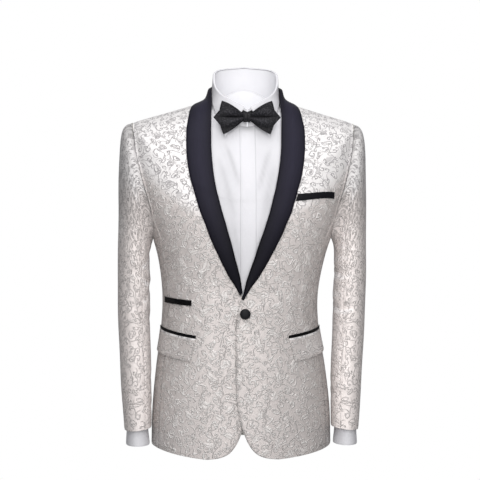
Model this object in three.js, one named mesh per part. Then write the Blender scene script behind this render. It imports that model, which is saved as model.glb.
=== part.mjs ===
// A one-button dinner jacket with a shawl collar, over a dress shirt and a bow tie, held open as if worn.
// Millimetres, +Z up. It faces -Y, and the wearer's left is +X.
// The origin is the middle of the neck, level with the inner ends of the jacket's shoulder seams.
//
// Each garment is a skin: a family of closed rings, numbered by level from the neck down to the hem.
// A turn of 0 degrees is the middle of the front, 90 the wearer's left side and 180 the middle of the back.
// Every panel is a wall laid on its skin, and what lies on a panel is laid on the same skin, further out.
import * as THREE from "three";

// Cloth and the room between pieces
const JACKET_CLOTH = 2;
const SATIN = 2;
const SHIRT_CLOTH = 1;
const BAND_CLOTH = 0.6;
const SEAM = 0.3;
const LAYER = 0.5;
const POCKET_LAYER = 0.9;
const LAPEL_LAYER = 1.2;

// Places of the seams on the jacket's skin
const HEM_LEVEL = 14;
const NECK_LEVEL = 0.04;
const SIDE_SEAM_TURN = 64;
const ARMHOLE = { turn: 90, level: 6.15, turns: 33, levels: 2.1 };
const SHIRT_ARMHOLE = { turn: 90, level: 6.05, turns: 31, levels: 1.9 };

// Buttoned front: the wearer's left front laps over the right one, which sinks by the drop under it
const LAP = { drop: 5.2, outer: -90, inner: -22, top: -300, full: -390 };
// The cutaway swings a little to the wearer's right towards the hem
const SWING = { out: -3, top: -400, full: -640 };
const BUTTON = { x: -2.8, z: -427, radius: 10.4, height: 6.2, seat: 0.7 };

// Shirt
const PLACKET = { from: -12, to: 19, thickness: 1, up: 0.06 };
const COLLAR_STAND_CLOTH = 1.2;
const LEAF_OUT = 3.6;

const WHITE_JACQUARD = { color: 0xe4dfd8, roughness: 0.55, metalness: 0 };
const BLACK_SATIN = { color: 0x14131a, roughness: 0.35, metalness: 0 };
const WHITE_COTTON = { color: 0xf2f2f6, roughness: 0.8, metalness: 0 };
const BLACK_BROCADE = { color: 0x131318, roughness: 0.5, metalness: 0 };

const garment = new THREE.Group();

const RADIANS = Math.PI / 180;
const mix = (a, b, share) => a + (b - a) * share;
const clamp = (x, low, high) => Math.min(Math.max(x, low), high);
const sine = (turn) => Math.sin(turn * RADIANS);
const cosine = (turn) => Math.cos(turn * RADIANS);
const steps = (count, from = 0, to = 1) =>
  Array.from({ length: count + 1 }, (_, i) => mix(from, to, i / count));

function ease(x, from, to) {
  const t = clamp((x - from) / (to - from), 0, 1);
  return t * t * (3 - 2 * t);
}

// Reads a table whose first column says where each row stands. The other columns run smoothly between rows.
function smoothTable(columns, rows) {
  const names = columns.split(" ");
  const last = rows.length - 1;
  const slope = (row, k) => {
    const before = rows[Math.max(row - 1, 0)];
    const after = rows[Math.min(row + 1, last)];
    return (after[k] - before[k]) / (after[0] - before[0]);
  };
  return (at) => {
    let row = 1;
    while (row < last && rows[row][0] < at) row += 1;
    const span = rows[row][0] - rows[row - 1][0];
    const t = clamp((at - rows[row - 1][0]) / span, 0, 1);
    const read = (k) =>
      (2 * t ** 3 - 3 * t ** 2 + 1) * rows[row - 1][k] +
      (t ** 3 - 2 * t ** 2 + t) * span * slope(row - 1, k) +
      (3 * t ** 2 - 2 * t ** 3) * rows[row][k] +
      (t ** 3 - t ** 2) * span * slope(row, k);
    return Object.fromEntries(names.map((name, k) => [name, read(k)]));
  };
}

// Rings of the jacket's outer face. Levels below 0 are the collar stand, 4 passes the shoulder tips,
// 4 to 8 are cut by the armholes, 10 is the waist and 14 the hem.
// The middle column is how far the ring stands off the plane x = 0, because the wearer leans a little.
const jacketRing = smoothTable("level middle half front back zFront zSide zBack", [
  [-1, 4, 72.5, 80, 64, -20, 30, 51],
  [0, 3, 78, 86, 68, -55, 0, 17],
  [1, 1, 112, 99, 90, -98, -12, -16],
  [2, 0, 150, 109, 104, -134, -23.5, -54],
  [3, -1, 188, 116, 114, -166, -34.5, -92],
  [4, -1.5, 222, 120, 120, -194, -46, -128],
  [4.4, -1.5, 230, 120.5, 121.5, -204, -55, -141],
  [5, -1.5, 236, 122, 124, -218, -92, -160],
  [6, -1.5, 230, 124, 126, -240, -150, -192],
  [7, -2, 208, 125, 126, -262, -212, -226],
  [8, -3, 185, 124, 123, -290, -266, -266],
  [9, -4.5, 168, 120, 113, -332, -322, -322],
  [10, -7, 157.5, 113, 101, -394, -390, -390],
  [11, -7.5, 159.5, 112, 103, -462, -455, -455],
  [12, -6, 171, 115, 116, -547, -535, -538],
  [13, -5, 179, 118, 122, -632, -615, -618],
  [14, -5, 181.5, 121, 124, -714, -692, -694],
]);

// How much smaller the shirt is than the jacket, ring by ring. The jacket lies on it at the shoulders.
const shirtEase = smoothTable("level half front back dropFront dropSide dropBack", [
  [0, 14, 11.5, 14, 1, 4, -12],
  [1, 8, 8, 9, 8, 6, 5],
  [2, 3, 8, 8, 7, 2.4, 2.4],
  [3, 2.5, 8.5, 8, 6.5, 2.2, 2.2],
  [4, 6, 9, 7.5, 6, 7, 7],
  [6, 7, 11, 7, 5, 6, 6],
  [8, 7, 13, 7, 0, 0, 0],
  [14, 7, 13, 7, 0, 0, 0],
]);

function shirtRing(level) {
  const ring = jacketRing(level);
  const less = shirtEase(level);
  return {
    middle: ring.middle,
    half: ring.half - less.half,
    front: ring.front - less.front,
    back: ring.back - less.back,
    zFront: ring.zFront - less.dropFront,
    zSide: ring.zSide - less.dropSide,
    zBack: ring.zBack - less.dropBack,
  };
}

// A skin gives the point at a turn and level, moved out along the skin's own normal.
const SQUARENESS = 0.1;

function skinOf(ringAt) {
  const point = (turn, level) => {
    const ring = ringAt(level);
    const [s, c] = [sine(turn), cosine(turn)];
    const depth = c > 0 ? ring.front : ring.back;
    const zEnd = c > 0 ? ring.zFront : ring.zBack;
    return new THREE.Vector3(
      ring.middle + ring.half * s * (1 + SQUARENESS * c * c),
      -depth * c * (1 + SQUARENESS * s * s),
      mix(ring.zSide, zEnd, c * c),
    );
  };
  const normal = (turn, level) => {
    const around = point(turn + 0.5, level).sub(point(turn - 0.5, level));
    const down = point(turn, level + 0.02).sub(point(turn, level - 0.02));
    return down.cross(around).normalize();
  };
  const skin = (turn, level, out = 0) => point(turn, level).addScaledVector(normal(turn, level), out);
  skin.point = point;
  skin.normal = normal;
  return skin;
}

const jacketSkin = skinOf(jacketRing);
const shirtSkin = skinOf(shirtRing);

function bisect(low, high, tooLow) {
  for (let i = 0; i < 40; i += 1) {
    const middle = (low + high) / 2;
    if (tooLow(middle)) low = middle;
    else high = middle;
  }
  return (low + high) / 2;
}

// The turn on the front of a skin where a level has a given x
const turnAt = (skin, level, x) => bisect(-90, 90, (turn) => skin.point(turn, level).x < x);

// The place on the front of a skin at a height, where x may follow the level
function placeAt(skin, z, xAt) {
  const isAbove = (trial) => skin.point(turnAt(skin, trial, xAt(trial)), trial).z > z;
  const level = bisect(-1, HEM_LEVEL, isAbove);
  return { turn: turnAt(skin, level, xAt(level)), level };
}

const seenAt = (skin, x, z) => placeAt(skin, z, () => x);

// The same on the jacket, with x counted from the middle of its rings
const ownAt = (x, z) => placeAt(jacketSkin, z, (level) => x + jacketRing(level).middle);

function heightAt(skin, turn, z) {
  return { turn, level: bisect(0, HEM_LEVEL, (level) => skin.point(turn, level).z > z) };
}

function between(a, b, share) {
  return { turn: mix(a.turn, b.turn, share), level: mix(a.level, b.level, share) };
}

// Walls

// A closed wall between two matching grids of points. A tube's last column joins its first.
function wall(outer, inner, tube = false) {
  const [rows, columns] = [outer.length, outer[0].length];
  const points = [...outer.flat(), ...inner.flat()];
  const count = rows * columns;
  const at = (layer, row, column) => layer * count + row * columns + (column % columns);
  const faces = [];
  const quad = (a, b, c, d) => {
    const short = points[a].distanceTo(points[c]) <= points[b].distanceTo(points[d]);
    faces.push(...(short ? [a, b, c, a, c, d] : [a, b, d, b, c, d]));
  };
  const cells = tube ? columns : columns - 1;
  for (let row = 0; row < rows - 1; row += 1) {
    for (let column = 0; column < cells; column += 1) {
      const cut = faces.length;
      const next = column + 1;
      quad(at(0, row, column), at(0, row + 1, column), at(0, row + 1, next), at(0, row, next));
      faces.push(...faces.slice(cut).map((index) => index + count).reverse());
    }
    if (!tube) {
      const end = columns - 1;
      quad(at(0, row, 0), at(1, row, 0), at(1, row + 1, 0), at(0, row + 1, 0));
      quad(at(0, row + 1, end), at(1, row + 1, end), at(1, row, end), at(0, row, end));
    }
  }
  for (let column = 0; column < cells; column += 1) {
    quad(at(0, 0, column + 1), at(1, 0, column + 1), at(1, 0, column), at(0, 0, column));
    const [bottom, next] = [rows - 1, column + 1];
    quad(at(0, bottom, column), at(1, bottom, column), at(1, bottom, next), at(0, bottom, next));
  }
  return solid(points, faces);
}

function solid(points, faces) {
  let volume = 0;
  for (let i = 0; i < faces.length; i += 3) {
    const [a, b, c] = [points[faces[i]], points[faces[i + 1]], points[faces[i + 2]]];
    volume += a.dot(new THREE.Vector3().crossVectors(b, c));
  }
  const geometry = new THREE.BufferGeometry().setFromPoints(points);
  geometry.setIndex(volume < 0 ? [...faces].reverse() : faces);
  geometry.computeVertexNormals();
  return geometry;
}

// A wall laid on a skin over a grid of places, from one height over the skin to another.
function wallOn(skin, places, outside, inside, settle = () => 0) {
  const pointOver = ({ turn, level }, out) => skin(turn, level, out + settle(skin.point(turn, level)));
  const layer = (out) => places.map((row) => row.map((place) => pointOver(place, out)));
  return wall(layer(outside), layer(inside));
}

// A wall of even thickness about a grid of points, along the grid's own normals.
function wallAbout(grid, thickness, tube = false) {
  const [rows, columns] = [grid.length, grid[0].length];
  const normal = (i, j) => {
    const along = grid[Math.min(i + 1, rows - 1)][j].clone().sub(grid[Math.max(i - 1, 0)][j]);
    const [before, after] = tube
      ? [(j + columns - 1) % columns, (j + 1) % columns]
      : [Math.max(j - 1, 0), Math.min(j + 1, columns - 1)];
    return along.cross(grid[i][after].clone().sub(grid[i][before])).normalize();
  };
  const moved = (i, j, out) => grid[i][j].clone().addScaledVector(normal(i, j), out);
  const layer = (out) => grid.map((row, i) => row.map((_, j) => moved(i, j, out)));
  return wall(layer(thickness / 2), layer(-thickness / 2), tube);
}

function add(name, geometry, look) {
  const mesh = new THREE.Mesh(geometry, new THREE.MeshStandardMaterial(look));
  mesh.name = name;
  garment.add(mesh);
}

const SIDES = [
  { side: 1, name: "left" },
  { side: -1, name: "right" },
];

// Seams

// The turn where an armhole's edge crosses a level, on the front of the left side
function armholeTurn(hole, level) {
  const up = clamp((level - hole.level) / hole.levels, -1, 1);
  return hole.turn - hole.turns * Math.sqrt(1 - up * up);
}

// The outer edge of a front panel: the shoulder seam, the armhole, then the side seam.
function frontBoundary(hole, sideTurn, level) {
  if (level <= hole.level) return armholeTurn(hole, level);
  return Math.min(armholeTurn(hole, level), sideTurn);
}

// The degrees of turn, and the levels, that a length in millimetres takes up on the skin
const turnsFor = (length) => length / 2.3;
const levelsFor = (length) => length / 58;

// Jacket fronts

// The front edge from the hem's corner round the cutaway, up the overlap and along the fold of the lapel.
// x is counted from the middle of the rings. The level is where the row meets the outer edge of the panel.
const frontEdge = smoothTable("step x z level", [
  [0, 70, -711, 14],
  [1, 46, -708, 13.9],
  [2, 26, -699, 13.75],
  [3, 11, -680, 13.5],
  [4, 1, -656, 13.2],
  [5, -7, -628, 12.8],
  [6, -12, -580, 12.1],
  [7, -12.5, -520, 11.5],
  [8, -12.5, -460, 10.9],
  [9, -9.5, -424, 10.35],
  [10, -5, -405, 10.05],
  [11, 0, -398, 9.95],
  [12, 4, -386, 9.75],
  [13, 9.8, -361, 9.4],
  [14, 22.2, -317, 8.8],
  [15, 31, -288, 8.45],
  [16, 41, -259, 8.05],
  [17, 46.5, -240, 7.7],
  [18, 51.5, -222, 7.44],
  [19, 55, -207, 7.1],
  [20, 58.5, -191, 6.7],
  [21, 64.3, -168, 6.15],
  [22, 68.6, -140, 5.3],
  [23, 71.1, -115, 4.7],
  [24, 72.1, -98, 4.3],
  [25, 72.7, -80, 4.1],
  [26, 73.2, -68, 4.02],
  [27, 73.2, -50, 3],
  [28, 73, -33, 2],
  [29, 73.5, -21, 1],
  [30, 74.5, -13.5, NECK_LEVEL],
]);

const swing = (z) => SWING.out * ease(z, SWING.top, SWING.full);

// How far a side sinks under the other one where they lap
function settleOf(side) {
  if (side > 0) return () => 0;
  return (point) => -LAP.drop * ease(point.x, LAP.outer, LAP.inner) * ease(point.z, LAP.top, LAP.full);
}

const FRONT_ROWS = [...steps(13, 0, 13), 13.5, ...steps(10, 14, 24), 24.5, ...steps(4, 25, 29), 29.5, 30];

function frontPlaces(side, columns) {
  return FRONT_ROWS.map((row) => {
    const { x, z, level } = frontEdge(row);
    const edge = ownAt(side * x + swing(z), z);
    if (level <= NECK_LEVEL) edge.level = NECK_LEVEL;
    const outer = frontBoundary(ARMHOLE, SIDE_SEAM_TURN, level) - turnsFor(SEAM);
    return steps(columns).map((share) => between(edge, { turn: side * outer, level }, share));
  });
}

for (const { side, name } of SIDES) {
  const geometry = wallOn(jacketSkin, frontPlaces(side, 10), 0, -JACKET_CLOTH, settleOf(side));
  add(`jacket_front_${name}`, geometry, WHITE_JACQUARD);
}

// Side bodies, between the fronts and the back, under the armholes
const SIDE_LEVELS = 13;

for (const { side, name } of SIDES) {
  const turns = steps(6, SIDE_SEAM_TURN + turnsFor(SEAM), 180 - SIDE_SEAM_TURN - turnsFor(SEAM));
  const top = (turn) => {
    const across = (turn - ARMHOLE.turn) / ARMHOLE.turns;
    return ARMHOLE.level + ARMHOLE.levels * Math.sqrt(1 - across * across) + levelsFor(2 * SEAM);
  };
  const places = steps(SIDE_LEVELS).map((share) =>
    turns.map((turn) => ({ turn: side * turn, level: mix(HEM_LEVEL, top(turn), share) })),
  );
  add(`jacket_side_${name}`, wallOn(jacketSkin, places, 0, -JACKET_CLOTH), WHITE_JACQUARD);
}

// Backs, joined at the centre seam
const BACK_LEVELS = [
  14, 13.2, 12.4, 11.6, 10.8, 10, 9.2, 8.5, 7.9, 7.44, 6.8, 6.15,
  5.4, 4.8, 4.4, 4.2, 4.09, 4.02, 3, 2, 1, 0.5,
];

for (const { side, name } of SIDES) {
  const places = [...BACK_LEVELS, NECK_LEVEL].map((level) => {
    const outer = 180 - frontBoundary(ARMHOLE, SIDE_SEAM_TURN, level) + turnsFor(SEAM);
    const seam = 180 - turnsFor(SEAM / 2);
    return steps(7).map((share) => ({ turn: side * mix(seam, outer, share), level }));
  });
  add(`jacket_back_${name}`, wallOn(jacketSkin, places, 0, -JACKET_CLOTH), WHITE_JACQUARD);
}

// Sleeves

// Rings of a left sleeve, from the armhole to the wrist: its outermost and innermost points, and how far
// it reaches to the front and the back. The upper rings fan round from the armhole to level.
const sleeveRing = smoothTable("step middle outX outZ inX inZ front back", [
  [0, -1.5, 222, -46.5, 181, -276, -72, 78],
  [1, -1.5, 235.5, -50.5, 183, -284, -78, 85],
  [2, -1.5, 244, -64, 185.5, -291, -80, 87],
  [3, -1.5, 248.5, -95, 187, -300, -81, 86],
  [4, -2, 250.5, -150, 188, -313, -79, 83],
  [5, -2.2, 251, -225, 188, -336, -75, 78],
  [6, -2.8, 251.5, -300, 187, -371, -71, 72],
  [7, -3.3, 251.5, -370, 186, -415, -67, 65],
  [8, -4, 249.5, -440, 185, -465, -66, 57],
  [9, -4.5, 245.5, -515, 182.5, -527, -69, 47],
  [10, -5, 241, -588, 181, -592, -74, 37],
  [11, -5, 235.5, -661, 181, -656, -79, 28],
]);
const SLEEVE_STEPS = [0, 0.2, 0.5, 1, 1.6, 2.3, 3.2, 4.3, 5.5, 6.7, 7.9, 9, 10, 11];
const SLEEVE_SEAMS = { front: -126, back: 96, gap: 0.3 };
// The sleeve starts a little inside the armhole, and takes its own shape within the first step.
const SLEEVE_INSET = 4 * SEAM;
const SLEEVE_OWN_BY = 0.9;

// A point of a closed ring through four rails. Round it, 0 is outermost, 90 the back and 180 innermost.
function sleeveRingPoint(side, step, round) {
  const ring = sleeveRing(step);
  return new THREE.Vector3(
    ring.middle + side * mix(ring.outX, ring.inX, (1 - cosine(round)) / 2),
    mix(ring.front, ring.back, (1 + sine(round)) / 2),
    mix(ring.outZ, ring.inZ, (1 - cosine(round)) / 2),
  );
}

function armholePoint(skin, hole, side, round, inset) {
  const turn = hole.turn + (hole.turns - turnsFor(inset)) * sine(round);
  const level = hole.level - (hole.levels - levelsFor(inset)) * cosine(round);
  return skin.point(side * turn, level);
}

// The outer face of a sleeve leaves the armhole's edge and runs out into the sleeve's own rings.
function sleeveFace(side, step, round, out = 0) {
  const face = (s, r) => {
    const start = armholePoint(jacketSkin, ARMHOLE, side, r, SLEEVE_INSET);
    return start.lerp(sleeveRingPoint(side, s, r), ease(s, 0, SLEEVE_OWN_BY));
  };
  const along = face(step + 0.05, round).sub(face(Math.max(step - 0.05, 0), round));
  const around = face(step, round + 1).sub(face(step, round - 1));
  return face(step, round).addScaledVector(along.cross(around).normalize(), side * out);
}

function jacketSleevePiece(side, from, to, columns) {
  const rounds = steps(columns, from + SLEEVE_SEAMS.gap, to - SLEEVE_SEAMS.gap);
  const ringAt = (step, out) => rounds.map((round) => sleeveFace(side, step, round, out));
  const layer = (out) => SLEEVE_STEPS.map((step) => ringAt(step, out));
  return wall(layer(0), layer(-JACKET_CLOTH));
}

for (const { side, name } of SIDES) {
  const { front, back } = SLEEVE_SEAMS;
  add(`jacket_sleeve_top_${name}`, jacketSleevePiece(side, front, back, 9), WHITE_JACQUARD);
  add(`jacket_sleeve_under_${name}`, jacketSleevePiece(side, back, 360 + front, 6), WHITE_JACQUARD);
}

// Shawl collar

// Fold and outer edge of the lapel as seen from the front, from the buttoned point up to the shoulder.
// The left lapel laps over the right one, so only it has the first row.
const LAPEL_ROWS = [
  [-1, -3.2, -398, 1.5, -400],
  [0, 1.2, -386, 6, -391],
  [1, 6.5, -360, 17, -372],
  [2, 13, -337, 32, -350],
  [3, 21, -311, 50, -316],
  [4, 33, -272, 68, -279],
  [5, 44, -236, 84, -240],
  [6, 53, -202, 97, -202],
  [7, 60.5, -170, 107, -168],
  [8, 66, -135, 114, -132],
  [9, 69, -100, 117, -98],
  [10, 70, -65, 117, -66],
  [11, 70.5, -35, 112, -33],
];
// Fold and outer edge round the neck, as turns and levels of the skin
const NECK_ROWS = [
  [12, 72, -0.3, 90, 0.62],
  [13, 92, -0.8, 112, 0.6],
  [14, 118, -0.92, 130, 0.6],
  [15, 148, -0.98, 153, 0.6],
  [16, 179.9, -1, 179.9, 0.6],
];
const COLLAR_END = 16;
const CURL = 3.4;
const CURL_ANGLES = [235, 180, 125];
const TURNED_UNDER = { lapel: 9, neck: 4 };
const BULGE = { lapel: 0.8, neck: 4.5 };

function collarOf(side) {
  const lapel = LAPEL_ROWS.map(([step, foldX, foldZ, edgeX, edgeZ]) => {
    const fold = ownAt(side * foldX, foldZ);
    const edge = ownAt(side * edgeX, edgeZ);
    return [step, side * fold.turn, fold.level, side * edge.turn, edge.level];
  });
  return smoothTable("step foldTurn foldLevel edgeTurn edgeLevel", [...lapel, ...NECK_ROWS]);
}

// Across the collar: how far in from the fold, and how high over the skin. It turns round the cloth's edge,
// curls over it and lies back on it.
function collarSection(width, turnedUnder, bulge) {
  const low = -JACKET_CLOTH - LAYER - SATIN / 2;
  const high = LAPEL_LAYER + SATIN / 2;
  const middle = (low + high) / 2;
  const radius = (high - low) / 2;
  const tuckedTo = clamp(turnedUnder, CURL + 0.5, width - 1);
  const curl = CURL_ANGLES.map((angle) => [CURL + radius * cosine(angle), middle + radius * sine(angle)]);
  const heightOver = (share) => high + bulge * Math.sin(Math.PI * share);
  const over = [0, 0.3, 0.6, 0.85, 1].map((share) => [mix(CURL, width, share), heightOver(share)]);
  return [[tuckedTo, low], [CURL, low], ...curl, ...over];
}

function collarGrid(side, stations) {
  const at = collarOf(side);
  const settle = settleOf(side);
  return stations.map((step) => {
    const row = at(step);
    const fold = { turn: side * row.foldTurn, level: row.foldLevel };
    const edge = { turn: side * row.edgeTurn, level: row.edgeLevel };
    const [foldPoint, edgePoint] = [fold, edge].map(({ turn, level }) => jacketSkin.point(turn, level));
    const width = foldPoint.distanceTo(edgePoint);
    const turnedUnder = mix(TURNED_UNDER.lapel, TURNED_UNDER.neck, ease(step, 10, 11.5));
    const bulge = mix(BULGE.lapel, BULGE.neck, ease(step, 10.5, 14));
    return collarSection(width, turnedUnder, bulge).map(([u, h]) => {
      const place = between(fold, edge, u / width);
      return jacketSkin(place.turn, place.level, h + settle(jacketSkin.point(place.turn, place.level)));
    });
  });
}

for (const { side, name } of SIDES) {
  const stations = [...steps(side > 0 ? 12 : 11, side > 0 ? -1 : 0, 11), ...steps(11, 11.5, COLLAR_END)];
  add(`shawl_collar_${name}`, wallAbout(collarGrid(side, stations), SATIN), BLACK_SATIN);
}

// Collar stand, from the neck seam up into the fold
{
  const at = collarOf(1);
  const halfStations = steps(8, 12.4, COLLAR_END);
  const column = (side, step) => {
    const row = at(step);
    const foot = { turn: side * row.foldTurn, level: -NECK_LEVEL };
    const top = { turn: side * row.foldTurn, level: row.foldLevel + 0.14 };
    return steps(2).map((share) => between(top, foot, share));
  };
  const turned = halfStations.slice(0, -1).reverse();
  const places = [
    ...halfStations.map((step) => column(1, step)),
    ...turned.map((step) => column(-1, step).map(({ turn, level }) => ({ turn: turn + 360, level }))),
  ];
  add("jacket_collar_stand", wallOn(jacketSkin, places, -SEAM, -JACKET_CLOTH + SEAM), WHITE_JACQUARD);
}

// Pockets

// A strip on the skin between an upper and a lower line, each given by its two end places.
function strip(upper, lower, columns, rows, outside) {
  const places = steps(rows).map((down) =>
    steps(columns).map((along) => between(between(...upper, along), between(...lower, along), down)),
  );
  return wallOn(jacketSkin, places, outside, POCKET_LAYER);
}

const WELT_OUT = POCKET_LAYER + 1.4;

// The breast welt ends at the lapel's edge.
{
  const upper = [seenAt(jacketSkin, 99.6, -192), seenAt(jacketSkin, 174.5, -187.5)];
  const lower = [seenAt(jacketSkin, 95.6, -206), seenAt(jacketSkin, 173.5, -200.5)];
  add("breast_welt", strip(upper, lower, 7, 1, WELT_OUT), BLACK_SATIN);
}

// The ticket welt lies over the right hip pocket.
{
  const TICKET = { inner: -36.5, outer: -73 };
  const upper = [heightAt(jacketSkin, TICKET.inner, -400.5), heightAt(jacketSkin, TICKET.outer, -394.5)];
  const lower = [heightAt(jacketSkin, TICKET.inner, -411.5), heightAt(jacketSkin, TICKET.outer, -406)];
  add("ticket_welt", strip(upper, lower, 7, 1, WELT_OUT), BLACK_SATIN);
}

// Hip pockets: a narrow black jet, and a flap hanging from it
const JET = { inner: 31.8, outer: 87, zInner: -472, zOuter: -455, height: 3.6 };
const FLAP = { height: 45, slant: 3, outerShare: 1 / 3, out: POCKET_LAYER + 1.6 };

for (const { side, name } of SIDES) {
  const line = (down, slant = 0) => [
    heightAt(jacketSkin, side * (JET.inner + slant), JET.zInner - down),
    heightAt(jacketSkin, side * (JET.outer - slant * FLAP.outerShare), JET.zOuter - down),
  ];
  add(`pocket_jet_${name}`, strip(line(0), line(JET.height), 9, 1, WELT_OUT), BLACK_SATIN);
  const top = line(JET.height + SEAM);
  const bottom = line(JET.height + FLAP.height, FLAP.slant);
  add(`pocket_flap_${name}`, strip(top, bottom, 9, 3, FLAP.out), WHITE_JACQUARD);
}

// Button, domed and covered
{
  const profile = [
    [0, 0],
    [0.8, 0],
    [1, 0.16],
    [1, 0.42],
    [0.86, 0.72],
    [0.5, 0.94],
    [0, 1],
  ].map(([r, h]) => new THREE.Vector2(r * BUTTON.radius, h * BUTTON.height));
  const geometry = new THREE.LatheGeometry(profile, 20);
  const { turn, level } = seenAt(jacketSkin, BUTTON.x, BUTTON.z);
  const outward = jacketSkin.normal(turn, level);
  geometry.applyQuaternion(new THREE.Quaternion().setFromUnitVectors(new THREE.Vector3(0, 1, 0), outward));
  const seat = jacketSkin(turn, level, BUTTON.seat);
  geometry.translate(seat.x, seat.y, seat.z);
  add("front_button", geometry, BLACK_BROCADE);
}

// Shirt body
const SHIRT_LEVELS = [
  12.6, 11.4, 10.4, 9.4, 8.6, 7.95, 7.4, 6.7, 6, 5.2, 4.6, 4.25, 4.12, 3.2, 2.2, 1.3, 0.6,
];
const SHIRT_NECK_LEVEL = 0.03;
const SHIRT_MIDDLE = (PLACKET.from + PLACKET.to) / 2;

function shirtPanel(columns, innerTurn, outerOf) {
  const places = [...SHIRT_LEVELS, SHIRT_NECK_LEVEL].map((level) =>
    steps(columns).map((share) => ({ turn: mix(innerTurn(level), outerOf(level), share), level })),
  );
  return wallOn(shirtSkin, places, 0, -SHIRT_CLOTH);
}

for (const { side, name } of SIDES) {
  const middle = (level) => turnAt(shirtSkin, level, SHIRT_MIDDLE + (side * SEAM) / 2);
  const outer = (level) => side * (frontBoundary(SHIRT_ARMHOLE, 90, level) - turnsFor(SEAM));
  add(`shirt_front_${name}`, shirtPanel(7, middle, outer), WHITE_COTTON);
}
{
  const left = (level) => 180 - frontBoundary(SHIRT_ARMHOLE, 90, level) + turnsFor(SEAM);
  const right = (level) => 180 + frontBoundary(SHIRT_ARMHOLE, 90, level) - turnsFor(SEAM);
  add("shirt_back", shirtPanel(10, left, right), WHITE_COTTON);
}
{
  const places = [...SHIRT_LEVELS, SHIRT_NECK_LEVEL + PLACKET.up].map((level) =>
    steps(3, PLACKET.from, PLACKET.to).map((x) => ({ turn: turnAt(shirtSkin, level, x), level })),
  );
  add("shirt_placket", wallOn(shirtSkin, places, LAYER + PLACKET.thickness, LAYER), WHITE_COTTON);
}

// Shirt sleeves, inside the jacket's, and their cuffs
const SHIRT_SLEEVE = { atArmhole: 8, below: 4.6, steps: [0, 0.3, 0.65, 1.2, 2.1, 3.4, 5, 6.8, 8.6, 10.4] };

for (const { side, name } of SIDES) {
  const rounds = steps(14, 0, 360).slice(0, -1);
  const layer = (inset) =>
    SHIRT_SLEEVE.steps.map((step) =>
      rounds.map((round) => {
        const start = armholePoint(shirtSkin, SHIRT_ARMHOLE, side, round, inset + SEAM);
        const inside = mix(SHIRT_SLEEVE.atArmhole, SHIRT_SLEEVE.below, ease(step, 0, 3));
        const own = sleeveFace(side, step, round, -inside - inset);
        return start.lerp(own, ease(step, 0, SLEEVE_OWN_BY));
      }),
    );
  add(`shirt_sleeve_${name}`, wall(layer(0), layer(SHIRT_CLOTH), true), WHITE_COTTON);
}

// The cuff leans forward and in on its way down, and flares over its last part.
const CUFF = { cloth: 1.6, top: -627, bottom: -690, outside: 21.8, reach: 47.6 };
const CUFF_MIDDLE = { x: 208.4, lean: 0.035, yTop: -21.5, yBottom: -26.5 };
const CUFF_FLARE = { out: 2, from: -661 };

for (const { side, name } of SIDES) {
  const rounds = steps(20, 0, 360).slice(0, -1);
  const layer = (inset) =>
    steps(3).map((down) => {
      const z = mix(CUFF.top, CUFF.bottom, down);
      const middleX = CUFF_MIDDLE.x + (z - CUFF.bottom) * CUFF_MIDDLE.lean;
      const middleY = mix(CUFF_MIDDLE.yTop, CUFF_MIDDLE.yBottom, down);
      const flare = CUFF_FLARE.out * ease(z, CUFF_FLARE.from, CUFF.bottom);
      return rounds.map((round) => {
        const x = middleX + (CUFF.outside + flare - inset) * cosine(round);
        const swung = sleeveRing(11).middle + side * x;
        return new THREE.Vector3(swung, middleY + (CUFF.reach - inset) * sine(round), z);
      });
    });
  add(`shirt_cuff_${name}`, wall(layer(0), layer(CUFF.cloth), true), WHITE_COTTON);
}

// Shirt collar

// The stand's foot, and its top, which falls steeply past the sides and then slowly to the front
const FOOT = { middle: 3.5, half: 63.4, front: 73.5, back: 52.5, zFront: -55.3, zSide: -3.4, zBack: 29.6 };
const TOP = { middle: 4, half: 62.5, front: 67, back: 52.5 };
const topHeight = smoothTable("turn z", [
  [0, -23],
  [34, -4],
  [56, 10],
  [75, 27],
  [90, 45],
  [105, 56],
  [130, 65],
  [180, 72],
]);
// The lower edge of the leaf, and how the leaf is folded
const LEAF_EDGE = { middle: 2.8, half: 70, front: 112, back: 60, zFront: -137, zSide: 0, zBack: 27 };
const LEAF = { cloth: 1.2, topTurn: 5, edgeTurn: 38.7, rollOver: 0.9 };

function neckPoint(ring, turn, out, z) {
  const [s, c] = [sine(turn), cosine(turn)];
  const depth = c > 0 ? ring.front : ring.back;
  return new THREE.Vector3(ring.middle + (ring.half + out) * s, -(depth + out) * c, z);
}

function edgePoint(ring, turn, out) {
  const c = cosine(turn);
  return neckPoint(ring, turn, out, mix(ring.zSide, c > 0 ? ring.zFront : ring.zBack, c * c));
}

function standPoint(turn, up, out) {
  const top = neckPoint(TOP, turn, out, topHeight(Math.min(turn, 360 - turn)).z);
  return edgePoint(FOOT, turn, out).lerp(top, up);
}

{
  const turns = steps(24, 1, 359);
  const layer = (out) => steps(2).map((up) => turns.map((turn) => standPoint(turn, up, out)));
  const half = COLLAR_STAND_CLOTH / 2;
  add("shirt_collar_stand", wall(layer(half), layer(-half)), WHITE_COTTON);
}

// The leaf rolls over the top of the stand and falls outside it, down to its two points.
{
  const radius = LEAF_OUT / 2;
  const arc = (angle) => [radius + radius * cosine(angle), LEAF.rollOver + radius * sine(angle)];
  const over = [180, 120, 60, 0].map(arc);
  const grid = steps(26).map((share) => {
    const topTurn = mix(LEAF.topTurn, 360 - LEAF.topTurn, share);
    const edgeTurn = mix(LEAF.edgeTurn, 360 - LEAF.edgeTurn, share);
    const roll = over.map(([out, up]) => standPoint(topTurn, 1, out).add(new THREE.Vector3(0, 0, up)));
    const edge = edgePoint(LEAF_EDGE, edgeTurn, 0);
    const fall = [0.3, 0.65, 1].map((down) => roll[3].clone().lerp(edge, down));
    return [...roll, ...fall];
  });
  add("shirt_collar_leaf", wallAbout(grid, LEAF.cloth), WHITE_COTTON);
}

// Bow tie

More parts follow.
